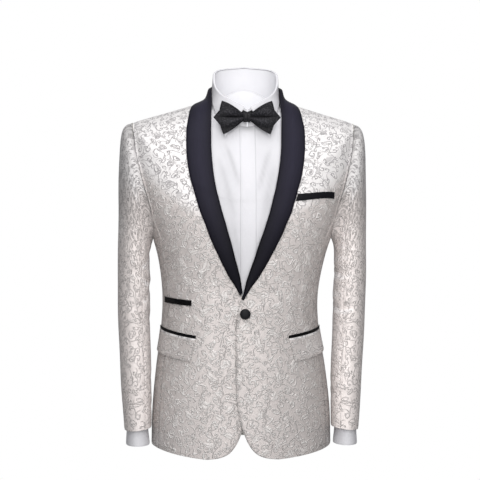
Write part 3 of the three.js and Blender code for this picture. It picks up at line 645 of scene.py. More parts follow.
def jacket_sleeves():
    close = [0.02, 0.05, 0.1, 0.16, 0.24, 0.33, 0.43, 0.54, 0.66, 0.79, 10.98]
    steps = np.unique(np.concatenate([np.linspace(0, WRIST_STEP, 133), close]))[:, None]
    parts = (
        ("top", SLEEVE_SEAMS["front"], SLEEVE_SEAMS["back"], 54, 0.36),
        ("under", SLEEVE_SEAMS["back"], 360 + SLEEVE_SEAMS["front"], 34, 0.2),
    )
    for side, word in SIDES:
        for part, start, end, columns, width in parts:
            gap = SLEEVE_SEAMS["gap"]
            rounds = mix(start + gap, end - gap, shares(columns, 0.5)[None, :])
            base, normal = sleeve_face(side, steps, rounds)
            head = ease(steps, 0, 0.7)
            out = head * sleeve_folds(side, base, rounds)
            # The head of the sleeve is eased in: it stands up in a soft roll beyond the seam.
            out = out + 0.4 * bell(steps, 0.42, 0.3) * ease(cosine(rounds), -0.75, 0.1)
            outer = base + normal * (out - edge_dip(base, (0.2, 1, 1, 1)))[..., None]
            inner = base + normal * (out - JACKET_CLOTH)[..., None]
            around, along = arc_lengths(base, 1), arc_lengths(base, 0)
            uv = np.stack([around - around[:, around.shape[1] // 2][:, None], along[-1:] - along], -1)
            # Painted light along the inner front of the arm, painted shade on the sleeve head
            lit = bell(np.abs((rounds + 360) % 360 - 222), 0, 50)
            tone = (SLEEVE_LIGHT_AND_SHADE["all"] + SLEEVE_LIGHT_AND_SHADE[word] * lit) * ease(base[..., 2], -150, -300)
            tone = tone - SLEEVE_LIGHT_AND_SHADE["head"] * ease(base[..., 2], -300, -200)
            # Painted shade also darkens the sleeve beside its armhole seam
            build(
                f"sleeve_{part}_cloth_{word}", f"jacket_sleeve_{part}_{word}", outer, inner, uv,
                SLEEVE_LOOKS, "white_jacquard", flat=(width, 0.66), held="hung",
                rests_on=[f"shirt_sleeve_{word}"],
                tone=tone - 0.3 * bell(along, 0, 12.0),
            )


# Shawl collar

# Step, then fold and outer edge of the lapel as seen from the front
LAPEL_ROWS = [
    [-1, -3.2, -398, 1.5, -400], [0, 1.2, -386, 6, -391], [1, 6.5, -360, 17, -372], [2, 13, -337, 32, -350],
    [3, 21, -311, 50, -316], [4, 33, -272, 68, -279], [5, 44, -236, 84, -240], [6, 53, -202, 97, -202],
    [7, 60.5, -170, 107, -168], [8, 66, -135, 114, -132], [9, 69, -100, 117, -98], [10, 70, -65, 117, -66],
    [11, 70.5, -35, 112, -33],
]
# Step, then fold and outer edge round the neck as turns and levels of the skin
NECK_ROWS = [
    [12, 72, -0.3, 90, 0.62], [13, 92, -0.8, 112, 0.6], [14, 118, -0.92, 130, 0.6],
    [15, 148, -0.98, 153, 0.6], [16, 179.9, -1, 179.9, 0.6],
]
COLLAR_END = 16
CURL = 3.4
TURNED_UNDER = {"lapel": 9, "neck": 4}
BULGE = {"lapel": 0.8, "neck": 4.5}
# How much painted highlight lightens the satin along the middle of the lapel, and painted shade darkens it
# at its two edges
LAPEL_HIGHLIGHT_AND_SHADE = {"middle": 0.4, "fold": 0.4, "edge": 0.3}


def collar_of(side):
    rows = []
    for step, fold_x, fold_z, edge_x, edge_z in LAPEL_ROWS:
        fold_turn, fold_level = own_at(side * fold_x, fold_z)
        edge_turn, edge_level = own_at(side * edge_x, edge_z)
        rows.append([step, side * fold_turn, fold_level, side * edge_turn, edge_level])
    return smooth_table(rows + NECK_ROWS)


def shawl_collar():
    low = -JACKET_CLOTH - LAYER - SATIN / 2
    high = LAPEL_LAYER + SATIN / 2
    middle, radius = (low + high) / 2, (high - low) / 2
    angles = np.linspace(235, 125, 9)
    curl_in, curl_up = CURL + radius * cosine(angles), middle + radius * sine(angles)
    over = shares(22)
    over = over[1:] if over[0] == 0 else over
    for side, word in SIDES:
        at = collar_of(side)
        stations = np.linspace(-1 if side > 0 else 0, COLLAR_END, 190)
        stations = np.concatenate([stations[:1], stations[:1] + 0.03, stations[1:]])
        fold_turn, fold_level, edge_turn, edge_level = at(stations)
        fold_point = jacket_skin.point(side * fold_turn, fold_level)
        edge_point = jacket_skin.point(side * edge_turn, edge_level)
        width = np.linalg.norm(fold_point - edge_point, axis=-1)
        under = mix(TURNED_UNDER["lapel"], TURNED_UNDER["neck"], ease(stations, 10, 11.5))
        tucked = np.clip(under, CURL + 0.5, np.maximum(width - 1, CURL + 0.5))[:, None]
        bulge = mix(BULGE["lapel"], BULGE["neck"], ease(stations, 10.5, 14))[:, None]
        wide = width[:, None]
        inwards = np.concatenate([
            mix(tucked, CURL, np.array([[0.0, 0.5]])),
            np.broadcast_to(curl_in, (len(stations), 9)),
            mix(CURL, wide, over[None, :]),
        ], 1)
        up = np.concatenate([
            np.full((len(stations), 2), low),
            np.broadcast_to(curl_up, (len(stations), 9)),
            high + bulge * np.sin(np.pi * over)[None, :],
        ], 1)
        share = inwards / wide
        turn = mix(side * fold_turn[:, None], side * edge_turn[:, None], share)
        level = mix(fold_level[:, None], edge_level[:, None], share)
        base = jacket_skin.point(turn, level)
        grid = base + jacket_skin.normal(turn, level) * (up + settle(side, base))[..., None]
        normals = grid_normals(grid)
        if np.einsum("j,j->", normals[60, -3], jacket_skin.normal(turn, level)[60, -3]) < 0:
            normals = -normals
        dip = edge_dip(grid, (0.3, 0, 0, 1), 0.9, 2.0)
        outer = grid + normals * (SATIN / 2 - dip)[..., None]
        inner = grid - normals * (SATIN / 2)
        # Painted highlight along the lapel's middle, painted shade at the fold and at the outer edge
        tone = LAPEL_HIGHLIGHT_AND_SHADE["middle"] * bell(share, 0.5, 0.24) - LAPEL_HIGHLIGHT_AND_SHADE["fold"] * ease(share, 0.25, 0)
        tone = tone - LAPEL_HIGHLIGHT_AND_SHADE["edge"] * ease(share, 0.78, 1)
        build(
            f"shawl_satin_{word}", f"shawl_collar_{word}", outer, inner, own_uv(grid), [SATIN_LOOK],
            "black_satin", flat=(0.075, 0.66), held="folded", rests_on=[f"jacket_front_{word}"], tone=tone,
        )


def jacket_collar_stand():
    at = collar_of(1)
    half = np.linspace(12.4, COLLAR_END, 60)
    fold_turn, fold_level, _, _ = at(half)
    turn = np.concatenate([fold_turn, 360 - fold_turn[-2::-1]])[:, None]
    top = np.concatenate([fold_level, fold_level[-2::-1]])[:, None] + 0.14
    down = shares(8)[None, :]
    level = mix(top, -NECK_LEVEL, down)
    turn = np.broadcast_to(turn, level.shape)
    outer = jacket_skin.over(turn, level, np.full(level.shape, -SEAM))
    inner = jacket_skin.over(turn, level, np.full(level.shape, -JACKET_CLOTH + SEAM))
    build(
        "collar_stand_cloth", "jacket_collar_stand", outer, inner, own_uv(outer), JACKET_LOOKS,
        "white_jacquard", flat=(0.3, 0.04), held="folded", rests_on=["shirt_collar_leaf"],
    )


# Pockets

WELT_OUT = POCKET_LAYER + 1.4
# The upper and the lower line of each welt by its two ends: x and z, or turn and z for the ticket's
BREAST_WELT = (((99.6, -192), (174.5, -187.5)), ((95.6, -206), (173.5, -200.5)))
TICKET_WELT = (((-36.5, -400.5), (-73, -394.5)), ((-36.5, -411.5), (-73, -406)))
JET = {"inner": 31.8, "outer": 87, "z_inner": -472, "z_outer": -455, "height": 3.6, "over": 2.2}
FLAP = {
    "height": 45, "slant": 3, "outer_share": 1 / 3, "out": POCKET_LAYER + 1.6, "lift": 1.6, "dip": 1.1,
    "shade": 0.12,
}


def strip(upper, lower, columns, rows):
    """Turns and levels between an upper and a lower line, each given by its two ends."""
    along, down = shares(columns)[None, :], shares(rows)[:, None]
    turn, level = (
        mix(mix(upper[0][k], upper[1][k], along), mix(lower[0][k], lower[1][k], along), down)
        for k in (0, 1)
    )
    return np.broadcast_to(turn, (down.shape[0], along.shape[1])), level


def laid_strip(name, node, lines, columns, rows, outside, inside, lift, dip, looks, slot, flat, shade=0.0):
    """A strip of cloth that lies on the jacket, and stands off it by a lift at its lower edge."""
    turn, level = strip(*lines, columns, rows)
    base, normal = jacket_skin.point(turn, level), jacket_skin.normal(turn, level)
    folds = body_folds(base, normal)
    lifted = lift * np.linspace(0, 1, len(turn))[:, None] ** 2
    outer = base + normal * (outside + folds + lifted - edge_dip(base, (1, 1, 1, 1), dip, 1.6))[..., None]
    inner = base + normal * (inside + folds + 0.5 * lifted)[..., None]
    build(
        name, node, outer, inner, own_uv(base), looks, slot,
        flat=flat, held="laid" if flat else None, rests_on=["jacket_front_left", "jacket_front_right"],
        tone=np.full(turn.shape, -shade),
    )


def pockets():
    satin = {
        "outside": WELT_OUT, "inside": POCKET_LAYER, "lift": 0, "dip": 0.6,
        "looks": [WELT_LOOK], "slot": "black_satin",
    }
    welts = (
        ("breast_welt", BREAST_WELT, seen_at, (0.09, 0.014)),
        ("ticket_welt", TICKET_WELT, height_at, (0.085, 0.0115)),
    )
    for node, lines, place, flat in welts:
        ends = [[place(*end) for end in line] for line in lines]
        laid_strip(f"{node}_satin", node, ends, 40, 8, flat=flat, **satin)
    for side, word in SIDES:
        def line(down, slant=0.0):
            return (
                height_at(side * (JET["inner"] + slant), JET["z_inner"] - down),
                height_at(side * (JET["outer"] - slant * FLAP["outer_share"]), JET["z_outer"] - down),
            )

        lines = (line(-JET["over"]), line(JET["height"]))
        laid_strip(f"pocket_jet_satin_{word}", f"pocket_jet_{word}", lines, 50, 4, flat=None, **satin)
        lines = (line(JET["height"] + SEAM), line(JET["height"] + FLAP["height"], FLAP["slant"]))
        laid_strip(
            f"pocket_flap_cloth_{word}", f"pocket_flap_{word}", lines, 50, 24, FLAP["out"], POCKET_LAYER,
            FLAP["lift"], FLAP["dip"], JACKET_LOOKS, "white_jacquard", (0.142, 0.046), FLAP["shade"],
        )


BUTTON = {"x": -2.8, "z": -427, "radius": 10.4, "height": 6.2, "seat": 0.7}


def front_button():
    profile = [[0, 0], [0.8, 0], [1, 0.16], [1, 0.42], [0.86, 0.72], [0.5, 0.94], [0, 1]]
    dome = smooth_table([[i, *row] for i, row in enumerate(profile)])
    r, h = dome(np.linspace(0, 6, 49))
    turns = np.linspace(0, 360, 65)[:-1]
    r = np.clip(r, 0.004, 1)[:, None] * BUTTON["radius"] * (1 + 0.006 * cosine(12 * turns))
    h = (h * BUTTON["height"])[:, None] + 0 * turns
    points = np.stack([r * cosine(turns), r * sine(turns), h], -1)
    turn, level = seen_at(BUTTON["x"], BUTTON["z"])
    outward = jacket_skin.normal(turn, level)
    across = unit(np.cross([0, 0, 1], outward))
    basis = np.stack([across, np.cross(outward, across), outward])
    grid = points @ basis + jacket_skin.over(turn, level, BUTTON["seat"])
    number = np.arange(grid.shape[0] * 64).reshape(-1, 64)
    number = np.concatenate([number, number[:, :1]], 1)
    a, b, c, d = number[:-1, :-1], number[:-1, 1:], number[1:, 1:], number[1:, :-1]
    faces = np.stack([a, b, c, d], -1).reshape(-1, 4).tolist()
    faces += [number[0, -2::-1].tolist(), number[-1, :-1].tolist()]
    mesh = bpy.data.meshes.new("covered_button")
    mesh.from_pydata((grid.reshape(-1, 3) / 1000).tolist(), [], faces)
    mesh.shade_smooth()
    mesh.materials.append(BUTTON_LOOK)
    piece = added("covered_button", mesh)
    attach(piece, "root")
    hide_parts("front_button")


# Shirt

SHIRT_LEVELS = [12.6, 11.4, 10.4, 9.4, 8.6, 7.95, 7.4, 6.7, 6, 5.2, 4.6, 4.25, 4.12, 3.2, 2.2, 1.3, 0.6]
SHIRT_NECK_LEVEL = 0.03
PLACKET = {"from": -12, "to": 19, "thickness": 1, "up": 0.06}
SHIRT_MIDDLE = (PLACKET["from"] + PLACKET["to"]) / 2


# Creases that fall from the collar's points and towards the button: both ends, width and height
CREASES = (
    (-46, -92, -17, -182, 5, 1.9), (-60, -120, -26, -250, 6, 1.4), (54, -100, 27, -190, 5, 1.7),
    (64, -130, 33, -262, 7, 1.4), (-34, -240, -14, -350, 5, 1.2), (37, -236, 22, -345, 5, 1.2),
)


def shirt_folds(points, normals, aside=0.0):
    x, z = points[..., 0], points[..., 2]
    out = 0.0
    for start_x, start_z, end_x, end_z, width, high in CREASES:
        share = (z - start_z) / (end_z - start_z)
        line = mix(start_x, end_x, np.clip(share, 0, 1) ** 0.8) + aside * np.sign(start_x)
        out = out + high * bell(x, line, width) * ease(share, -0.1, 0.25) * ease(share, 1.1, 0.6)
    return ease(-normals[..., 1], 0.2, 0.8) * (out + 0.3 * np.sin(x / 13 + z / 90))


def shirt_tone(points, normals):
    """The shade beside each crease, and under the bow tie."""
    x, z = points[..., 0], points[..., 2]
    under = ease(-normals[..., 1], 0.2, 0.8) * bell(x, 2, 24) * ease(z, -72, -57)
    return -0.11 * shirt_folds(points, normals, aside=-4.5) - 0.4 * under


def shirt_panel(name, node, inner_turn, outer_turn, levels, columns, flat):
    turn = mix(inner_turn, outer_turn, shares(columns)[None, :])
    skin_panel(
        name, node, shirt_skin, shirt_arc, turn, levels, (0, 0.2, 1, 1),
        cloth=SHIRT_CLOTH, folds=shirt_folds,
        looks=[COTTON_LOOK], slot="shirt_cotton", flat=flat, held="hung",
    )


def shirt_body():
    levels = refined([*SHIRT_LEVELS, SHIRT_NECK_LEVEL], 7)[:, None]
    hole = front_boundary(SHIRT_ARMHOLE, 90, levels)
    for side, word in SIDES:
        middle = turn_at(shirt_skin, levels, SHIRT_MIDDLE + side * SEAM / 2)
        shirt_panel(
            f"shirt_front_cloth_{word}", f"shirt_front_{word}", middle, side * (hole - turns_for(SEAM)),
            levels, 48,
            (0.31, 0.62),
        )
    left, right = 180 - hole + turns_for(SEAM), 180 + hole - turns_for(SEAM)
    turn = mix(left, right, shares(56)[None, :])
    base, normal = shirt_skin.point(turn, levels), shirt_skin.normal(turn, levels)
    around = arc_lengths(base, 1)
    uv = np.stack([around - around[:, around.shape[1] // 2][:, None], base[..., 2]], -1)
    build(
        "shirt_back_cloth", "shirt_back", base, base - normal * SHIRT_CLOTH, uv, [COTTON_LOOK, INSIDE_LOOK],
        "shirt_cotton", flat=(0.56, 0.62), held="hung",
    )
    levels = refined([*SHIRT_LEVELS, SHIRT_NECK_LEVEL + PLACKET["up"]], 7)[:, None]
    x = mix(PLACKET["from"], PLACKET["to"], shares(12, 2.0)[None, :])
    turn = turn_at(shirt_skin, levels + 0 * x, x + 0 * levels)
    base, normal = shirt_skin.point(turn, levels), shirt_skin.normal(turn, levels)
    folds = shirt_folds(base, normal)
    high = LAYER + PLACKET["thickness"] + folds - edge_dip(base, (0, 0, 1, 1), 0.5, 1.2)
    outer, inner = base + normal * high[..., None], base + normal * (LAYER + folds)[..., None]
    build(
        "shirt_placket_cloth", "shirt_placket", outer, inner, own_uv(base), [PLACKET_LOOK], "shirt_cotton",
        flat=(0.032, 0.62), held="laid", rests_on=["shirt_front_left", "shirt_front_right"],
        tone=shirt_tone(base, normal),
    )


SHIRT_SLEEVE = {"at_armhole": 8, "below": 4.6, "end": 10.4}
CUFF = {
    "cloth": 1.6, "top": -627, "bottom": -690, "middle": 208.4, "lean": 0.035,
    "outside": 21.8, "reach": 47.6,
}
CUFF_MIDDLE_Y = {"top": -21.5, "bottom": -26.5}
CUFF_FLARE = {"out": 2, "from": -661}


def shirt_sleeves():
    steps = np.concatenate([np.linspace(0, 1.2, 16), np.linspace(1.2, SHIRT_SLEEVE["end"], 50)[1:]])[:, None]
    rounds = np.linspace(0, 360, 73)[None, :-1]
    for side, word in SIDES:
        def layer(inset):
            start = armhole_point(shirt_skin, SHIRT_ARMHOLE, side, rounds, inset + SEAM)
            inside = mix(SHIRT_SLEEVE["at_armhole"], SHIRT_SLEEVE["below"], ease(steps, 0, 3))
            own, _ = sleeve_face(side, steps, rounds, -inside - inset)
            return mix(start, own, ease(steps, 0, SLEEVE_OWN_BY)[..., None])

        outer = layer(0)
        build(
            f"shirt_sleeve_cloth_{word}", f"shirt_sleeve_{word}", outer, layer(SHIRT_CLOTH), own_uv(outer),
            [COTTON_LOOK], "shirt_cotton", tube=True, flat=(0.44, 0.6), held="hung",
        )


def shirt_cuffs():
    down = shares(18, 1.4)[:, None]
    rounds = np.linspace(0, 360, 97)[None, :-1]
    z = mix(CUFF["top"], CUFF["bottom"], down)
    middle_x = CUFF["middle"] + (z - CUFF["bottom"]) * CUFF["lean"]
    middle_y = mix(CUFF_MIDDLE_Y["top"], CUFF_MIDDLE_Y["bottom"], down)
    flare = CUFF_FLARE["out"] * ease(z, CUFF_FLARE["from"], CUFF["bottom"])
    wrist = sleeve_ring(WRIST_STEP)[0]
    for side, word in SIDES:
        def layer(inset):
            x = middle_x + (CUFF["outside"] + flare - inset) * cosine(rounds)
            y = middle_y + (CUFF["reach"] - inset) * sine(rounds)
            return np.stack(np.broadcast_arrays(wrist + side * x, y, z), -1)

        base = layer(0)
        inset = edge_dip(base, (0, 1, 0, 0), 0.5, 1.4) + 0.35 * bell(z, CUFF["bottom"] + 6, 0.9)
        build(
            f"shirt_cuff_cloth_{word}", f"shirt_cuff_{word}", layer(inset), layer(CUFF["cloth"]),
            own_uv(base), [COTTON_LOOK], "shirt_cotton", tube=True, flat=(0.23, 0.065), held="stretched",
        )


# Middle, half width, front and back, then z at the front, side and back
FOOT = (3.5, 63.4, 73.5, 52.5, -55.3, -3.4, 29.6)
TOP = (4, 62.5, 67, 52.5)
LEAF_EDGE = (2.8, 70, 112, 60, -129, 0, 27)
# Turn, then the height of the stand's top there
top_height = smooth_table([
    [0, -23], [34, -4], [56, 10], [75, 27], [90, 45], [105, 56], [130, 65], [180, 72],
])
LEAF = {"cloth": 1.2, "out": 3.6, "top_turn": 5, "edge_turn": 38.7, "roll_over": 0.9}
COLLAR_STAND_CLOTH = 1.2
# The stand reaches down into the shirt's neck by this share of its own height
STAND_TUCK = -0.08


def neck_point(ring, turn, out, z):
    middle, half, front, back = ring[:4]
    s, c = sine(turn), cosine(turn)
    depth = np.where(c > 0, front, back)
    return np.stack(np.broadcast_arrays(middle + (half + out) * s, -(depth + out) * c, z), -1)


def neck_edge(ring, turn, out):
    z_front, z_side, z_back = ring[4:]
    c = cosine(turn)
    return neck_point(ring, turn, out, mix(z_side, np.where(c > 0, z_front, z_back), c * c))


def stand_point(turn, up, out):
    top = neck_point(TOP, turn, out, top_height(np.minimum(turn, 360 - turn))[0])
    return mix(neck_edge(FOOT, turn, out), top, np.asarray(up)[..., None])


def shirt_collar():
    turns = np.linspace(1, 359, 150)[None, :]
    up = mix(STAND_TUCK, 1, shares(12))[:, None]
    half = COLLAR_STAND_CLOTH / 2
    outer, inner = stand_point(turns, up, half), stand_point(turns, up, -half)
    build(
        "shirt_stand_cloth", "shirt_collar_stand", outer, inner, own_uv(outer), [COLLAR_LOOK, BAND_LOOK],
        "shirt_cotton", flat=(0.42, 0.05), held="stretched", rests_on=["shirt_back"],
    )
    radius = LEAF["out"] / 2
    share = shares(150, 2.0)[:, None]
    top_turn = mix(LEAF["top_turn"], 360 - LEAF["top_turn"], share)
    edge_turn = mix(LEAF["edge_turn"], 360 - LEAF["edge_turn"], share)
    angles = np.linspace(180, 0, 11)[None, :]
    roll = stand_point(top_turn, np.ones_like(top_turn), radius + radius * cosine(angles))
    roll = roll + (LEAF["roll_over"] + radius * sine(angles))[..., None] * np.array([0, 0, 1.0])
    down = shares(20)[1:]
    edge = neck_edge(LEAF_EDGE, edge_turn, 0)
    fall = mix(roll[:, -1:], edge, down[None, :, None])
    # The leaf springs away from the stand a little, most at its points
    spring = 1.6 * np.sin(np.pi * down) * ease(np.abs(share - 0.5), 0.2, 0.5)
    grid = np.concatenate([roll, fall], 1)
    normals = grid_normals(grid)
    normals = normals * np.sign(normals[75, -3, 1])
    grid[:, 11:] += normals[:, 11:] * spring[..., None]
    dip = edge_dip(grid, (1, 1, 0, 1), 0.5, 1.3)
    stitch = 0.22 * edge_line(grid, 6.0, 0.8)
    outer = grid + normals * (LEAF["cloth"] / 2 - dip - stitch)[..., None]
    inner = grid - normals * (LEAF["cloth"] / 2)
    build(
        "shirt_leaf_cloth", "shirt_collar_leaf", outer, inner, own_uv(grid), [COLLAR_LOOK], "shirt_cotton",
        flat=(0.5, 0.09), held="folded", rests_on=["shirt_collar_stand"],
    )


def edge_line(grid, inset, width):
    """A line of stitching inside the outer edges of a leaf: its two ends and its last column."""
    first, last, _, outer = edge_distances(grid)
    return bell(np.minimum(np.minimum(first, last), outer), inset, width)


# Bow tie

BOW = {
    "x": 2, "z": -39, "waist_front": -86.9, "waist_back": -82.3, "forward": 6.5, "sag": 1.6, "cloth": 1.5,
}
FRONT_WING = {"end": 66.5, "pointed": 13, "lobe": 4.6}
BACK_WING = {"end": 55, "rounded": 7, "slant": 1.5}
KNOT = {"half_width": 6.8, "half_height": 10.5, "half_depth": 10, "pinch": 0.07, "y": -83, "cloth": 1.5}
BAND = {"low": 0.42, "high": 0.85, "gap": 0.35}
# Share of the way from the waist to the end of a wing, then half the height there
front_loop = smooth_table([[0, 6.4], [0.14, 6.8], [0.4, 14.5], [0.7, 19.5], [0.88, 20], [1, 15]])
back_loop = smooth_table([[0, 8.2], [0.16, 8.4], [0.45, 19], [0.75, 28], [1, 33.2]])


# Painted highlight on the middle of each lobe, and painted shade in the valley along a wing's middle near
# the knot
BOW_HIGHLIGHT_AND_SHADE = {"lobe": 0.9, "valley": 0.85}


def bow_layer(name, node, loop, end_at, waist, lobe, pleats, flat):
    u = np.sign(np.linspace(-1, 1, 97)) * np.abs(np.linspace(-1, 1, 97)) ** 0.92
    u = np.unique(np.concatenate([u, [-0.985, 0.985]]))[:, None]
    w = mix(-1, 1, shares(36))[None, :]
    along = np.abs(u)
    x = BOW["x"] + u * end_at(w)
    z = BOW["z"] - BOW["sag"] * along + w * loop(along)[0]
    crease = np.abs(np.sin(np.pi * w * 0.9))
    forward = BOW["forward"] * ease(along, 0.05, 0.7) + lobe * np.sin(np.pi * along) * crease
    fade = ease(along, 0.08, 0.2) * ease(along, 0.85, 0.25)
    forward = forward + pleats * fade * np.cos(w * 11) * (0.6 + 0.4 * np.sign(u))
    grid = np.stack(np.broadcast_arrays(x, waist - forward, z), -1)
    normals = grid_normals(grid)
    normals = normals * (-np.sign(normals[48, 18, 1]))
    outer = grid + normals * (BOW["cloth"] / 2 - edge_dip(grid, (1, 1, 1, 1), 0.6, 1.2))[..., None]
    inner = grid - normals * (BOW["cloth"] / 2)
    # Painted highlight on the lobes, painted shade in the valley
    tone = BOW_HIGHLIGHT_AND_SHADE["lobe"] * bell(np.abs(w), 0.5, 0.3) * bell(along, 0.5, 0.34)
    tone = tone - BOW_HIGHLIGHT_AND_SHADE["valley"] * bell(w, 0, 0.15) * ease(along, 1.0, 0.35)
    build(
        name, node, outer, inner, grid[..., [0, 2]], [BROCADE_LOOK], "bow_brocade",
        flat=flat, held="folded", rests_on=["bow_knot"], tone=tone,
    )


def bow_tie():
    bow_layer(
        "bow_front_silk", "bow_front", front_loop,
        lambda w: FRONT_WING["end"] - FRONT_WING["pointed"] * np.abs(w),
        BOW["waist_front"], FRONT_WING["lobe"], 0.55, (0.13, 0.04),
    )
    bow_layer(
        "bow_back_silk", "bow_back", back_loop,
        lambda w: BACK_WING["end"] - BACK_WING["rounded"] * w * w + BACK_WING["slant"] * w,
        BOW["waist_back"], 0, 0.45, (0.107, 0.062),
    )
    w = mix(-1, 1, shares(22, 1.5))[:, None]
    rounds = np.linspace(0, 360, 73)[None, :-1]
    pinch = 1 - KNOT["pinch"] * (1 - w * w) - 0.012 * np.cos(3 * np.pi * w) * (1 - w * w)
    y = KNOT["y"] + KNOT["half_depth"] * pinch * cosine(rounds)
    z = BOW["z"] + KNOT["half_height"] * pinch * sine(rounds)
    grid = np.stack(np.broadcast_arrays(BOW["x"] + w * KNOT["half_width"], y, z), -1)
    normals = grid_normals(grid, tube=True)
    outward = np.sign((normals[10, 0] * (grid[10, 0] - grid[10].mean(0))).sum())
    half = KNOT["cloth"] / 2
    outer = grid + outward * normals * (half - edge_dip(grid, (1, 1, 0, 0), 0.6, 1.3))[..., None]
    build(
        "bow_knot_silk", "bow_knot", outer, grid - outward * normals * half, own_uv(grid),
        [BROCADE_LOOK], "bow_brocade",
        tube=True, flat=(0.066, 0.016), held="stretched", rests_on=["bow_front", "bow_back"],
    )
    rounds = np.linspace(0, 360, 145)[None, :-1]
    up = mix(BAND["low"], BAND["high"], shares(5))[:, None]
    inside = COLLAR_STAND_CLOTH / 2 + BAND["gap"]
    outer, inner = stand_point(rounds, up, inside + BAND_CLOTH), stand_point(rounds, up, inside)
    build(
        "bow_band_silk", "bow_band", outer, inner, own_uv(outer), [BROCADE_LOOK], "bow_brocade",
        tube=True, flat=(0.4, 0.018), held="stretched", rests_on=["shirt_collar_stand"],
    )


# Materials

TURN = 2 * math.pi


class Value:
    """An output of a node. Arithmetic with it adds nodes to its tree."""

    def __init__(self, nodes, socket):
        self.nodes = nodes
        self.socket = socket

    def math(self, operation, *others):
        return self.nodes.add("ShaderNodeMath", self, *others, operation=operation)

    def vector(self, operation, *others):
        return self.nodes.add("ShaderNodeVectorMath", self, *others, operation=operation)

    def scaled(self, by):
        return self.vector("SCALE", None, None, by)

    def rotated(self, angle):
        return self.nodes.add("ShaderNodeVectorRotate", self, (0, 0, 0), (0, 0, 1), angle)

    def parts(self):
        made = self.nodes.add("ShaderNodeSeparateXYZ", self).socket.node
        return [Value(self.nodes, output) for output in made.outputs]

    def __add__(self, other):
        return self.math("ADD", other)

    def __sub__(self, other):
        return self.math("SUBTRACT", other)

    def __rsub__(self, other):
        return self.math("MULTIPLY_ADD", -1.0, other)

    def __mul__(self, other):
        return self.math("MULTIPLY", other)

    def __truediv__(self, other):
        return self.math("DIVIDE", other)

    def __abs__(self):
        return self.math("ABSOLUTE")


class Nodes:
    """Short ways to add nodes to a tree."""

    def __init__(self, tree):
        self.tree = tree

    def put(self, socket, value):
        """Links a value of the tree to an input. A plain number or colour is set on the input itself."""
        if isinstance(value, Value):
            self.tree.links.new(value.socket, socket)
        else:
            socket.default_value = value

    def add(self, kind, *values, inputs=None, output=0, **settings):
        """Adds a node, with values for its first inputs in order and for others by name."""
        made = self.tree.nodes.new(kind)
        for key, value in settings.items():
            setattr(made, key, value)
        for socket, value in zip(made.inputs, values):
            if value is not None:
                self.put(socket, value)
        for name, value in (inputs or {}).items():
            self.put(made.inputs[name], value)
        return Value(self, made.outputs[output])

    def fade(self, value, start, end):
        """From 0 at start to 1 at end, smoothly."""
        return self.add(
            "ShaderNodeMapRange", output="Result", interpolation_type="SMOOTHSTEP",
            inputs={"Value": value, "From Min": start, "From Max": end, "To Min": 0.0, "To Max": 1.0},
        )

    def blend(self, share, a, b):
        """A colour, or a number, between two others."""
        if isinstance(a, (int, float)):
            return share * (b - a) + a
        made = self.add("ShaderNodeMix", inputs={"Factor": share}, data_type="RGBA").socket.node
        for socket, colour in zip([s for s in made.inputs if s.type == "RGBA"], (a, b)):
            self.put(socket, (*colour, 1.0) if isinstance(colour, tuple) else colour)
        return Value(self, [s for s in made.outputs if s.type == "RGBA"][0])

    def noise(self, vector, scale, detail=2.0, output="Fac"):
        values = {"Vector": vector, "Scale": scale, "Detail": detail}
        return self.add("ShaderNodeTexNoise", inputs=values, output=output)

    def geometry(self, output):
        return self.add("ShaderNodeNewGeometry", output=output)


class Look(Nodes):
    """A material, built up on its own shader. Places on its cloth are in millimetres across and along it."""

    def __init__(self, name, **surface):
        self.material = bpy.data.materials.new(name)
        self.material.use_nodes = True
        super().__init__(self.material.node_tree)
        self.shader = self.tree.nodes["Principled BSDF"]
        self.place = self.add("ShaderNodeUVMap", uv_map="cloth").scaled(1000.0)
        self.finish(**surface)

    def finish(self, **inputs):
        for key, value in inputs.items():
            self.put(self.shader.inputs[key.replace("_", " ")], value)
        return self.material

    def colour(self, colour):
        """Sets the cloth's colour, lightened or darkened by the piece's tone: its painted light and shade.
        """
        tone = self.add("ShaderNodeAttribute", output="Fac", attribute_name="tone")
        return self.finish(Base_Color=colour.scaled(tone + 1.0))

    def relief(self, height, distance, strength=1.0):
        """Sets the relief, from a height in units of a distance in metres."""
        values = {"Height": height, "Distance": distance, "Strength": strength}
        return self.finish(Normal=self.add("ShaderNodeBump", inputs=values, output="Normal"))

    def weave(self, pitch, strength):
        """A fine plain or satin weave as height."""
        x, y, _ = self.place.parts()
        return (x * (TURN / pitch)).math("SINE") * (y * (TURN / pitch)).math("SINE") * strength


# Jacquard: scrolls, winding stems and leaves, woven in a duller yarn on a satin ground

# What a leaf has of the figure's shade and relief, and how far the cloth rises beside a line in millimetres
LEAF_SHARE = 0.5
RISE = 0.95
# How softly a line ends to both sides, in millimetres
LINE_SOFTNESS = 0.45
# Sizes as shares of a cell: how far a figure strays from its middle, and the parts of each
SCROLL = {"strays": 0.24, "pitch": 0.38, "thin": (0.52, 0.2), "end": (0.42, 0.38), "bead": 1.3}
STEM = {"period": 1.7, "swing": 0.3, "gap_period": 0.62, "gap": (-0.6, -0.2)}
LEAFLET = {
    "strays": 0.3, "bend": 1.3, "reach": 0.32, "lobes": 30, "half": 0.21, "taper": -0.35,
    "vein": (0.3, 0.8),
}
# Size of cell, seed or slant, and half a line's width, or the share of cells with a leaf
SCROLLS = ((22.0, 3.7, 0.78), (16.5, 11.8, 0.66))
STEMS = ((34.0, 0.9, 0.5), (47.0, -0.7, 0.5))
LEAVES = (37.0, 7.25, 0.75)
# The figures wander by noise of this scale, this far in millimetres
WANDER = {"scale": 0.035, "reach": 22.0}


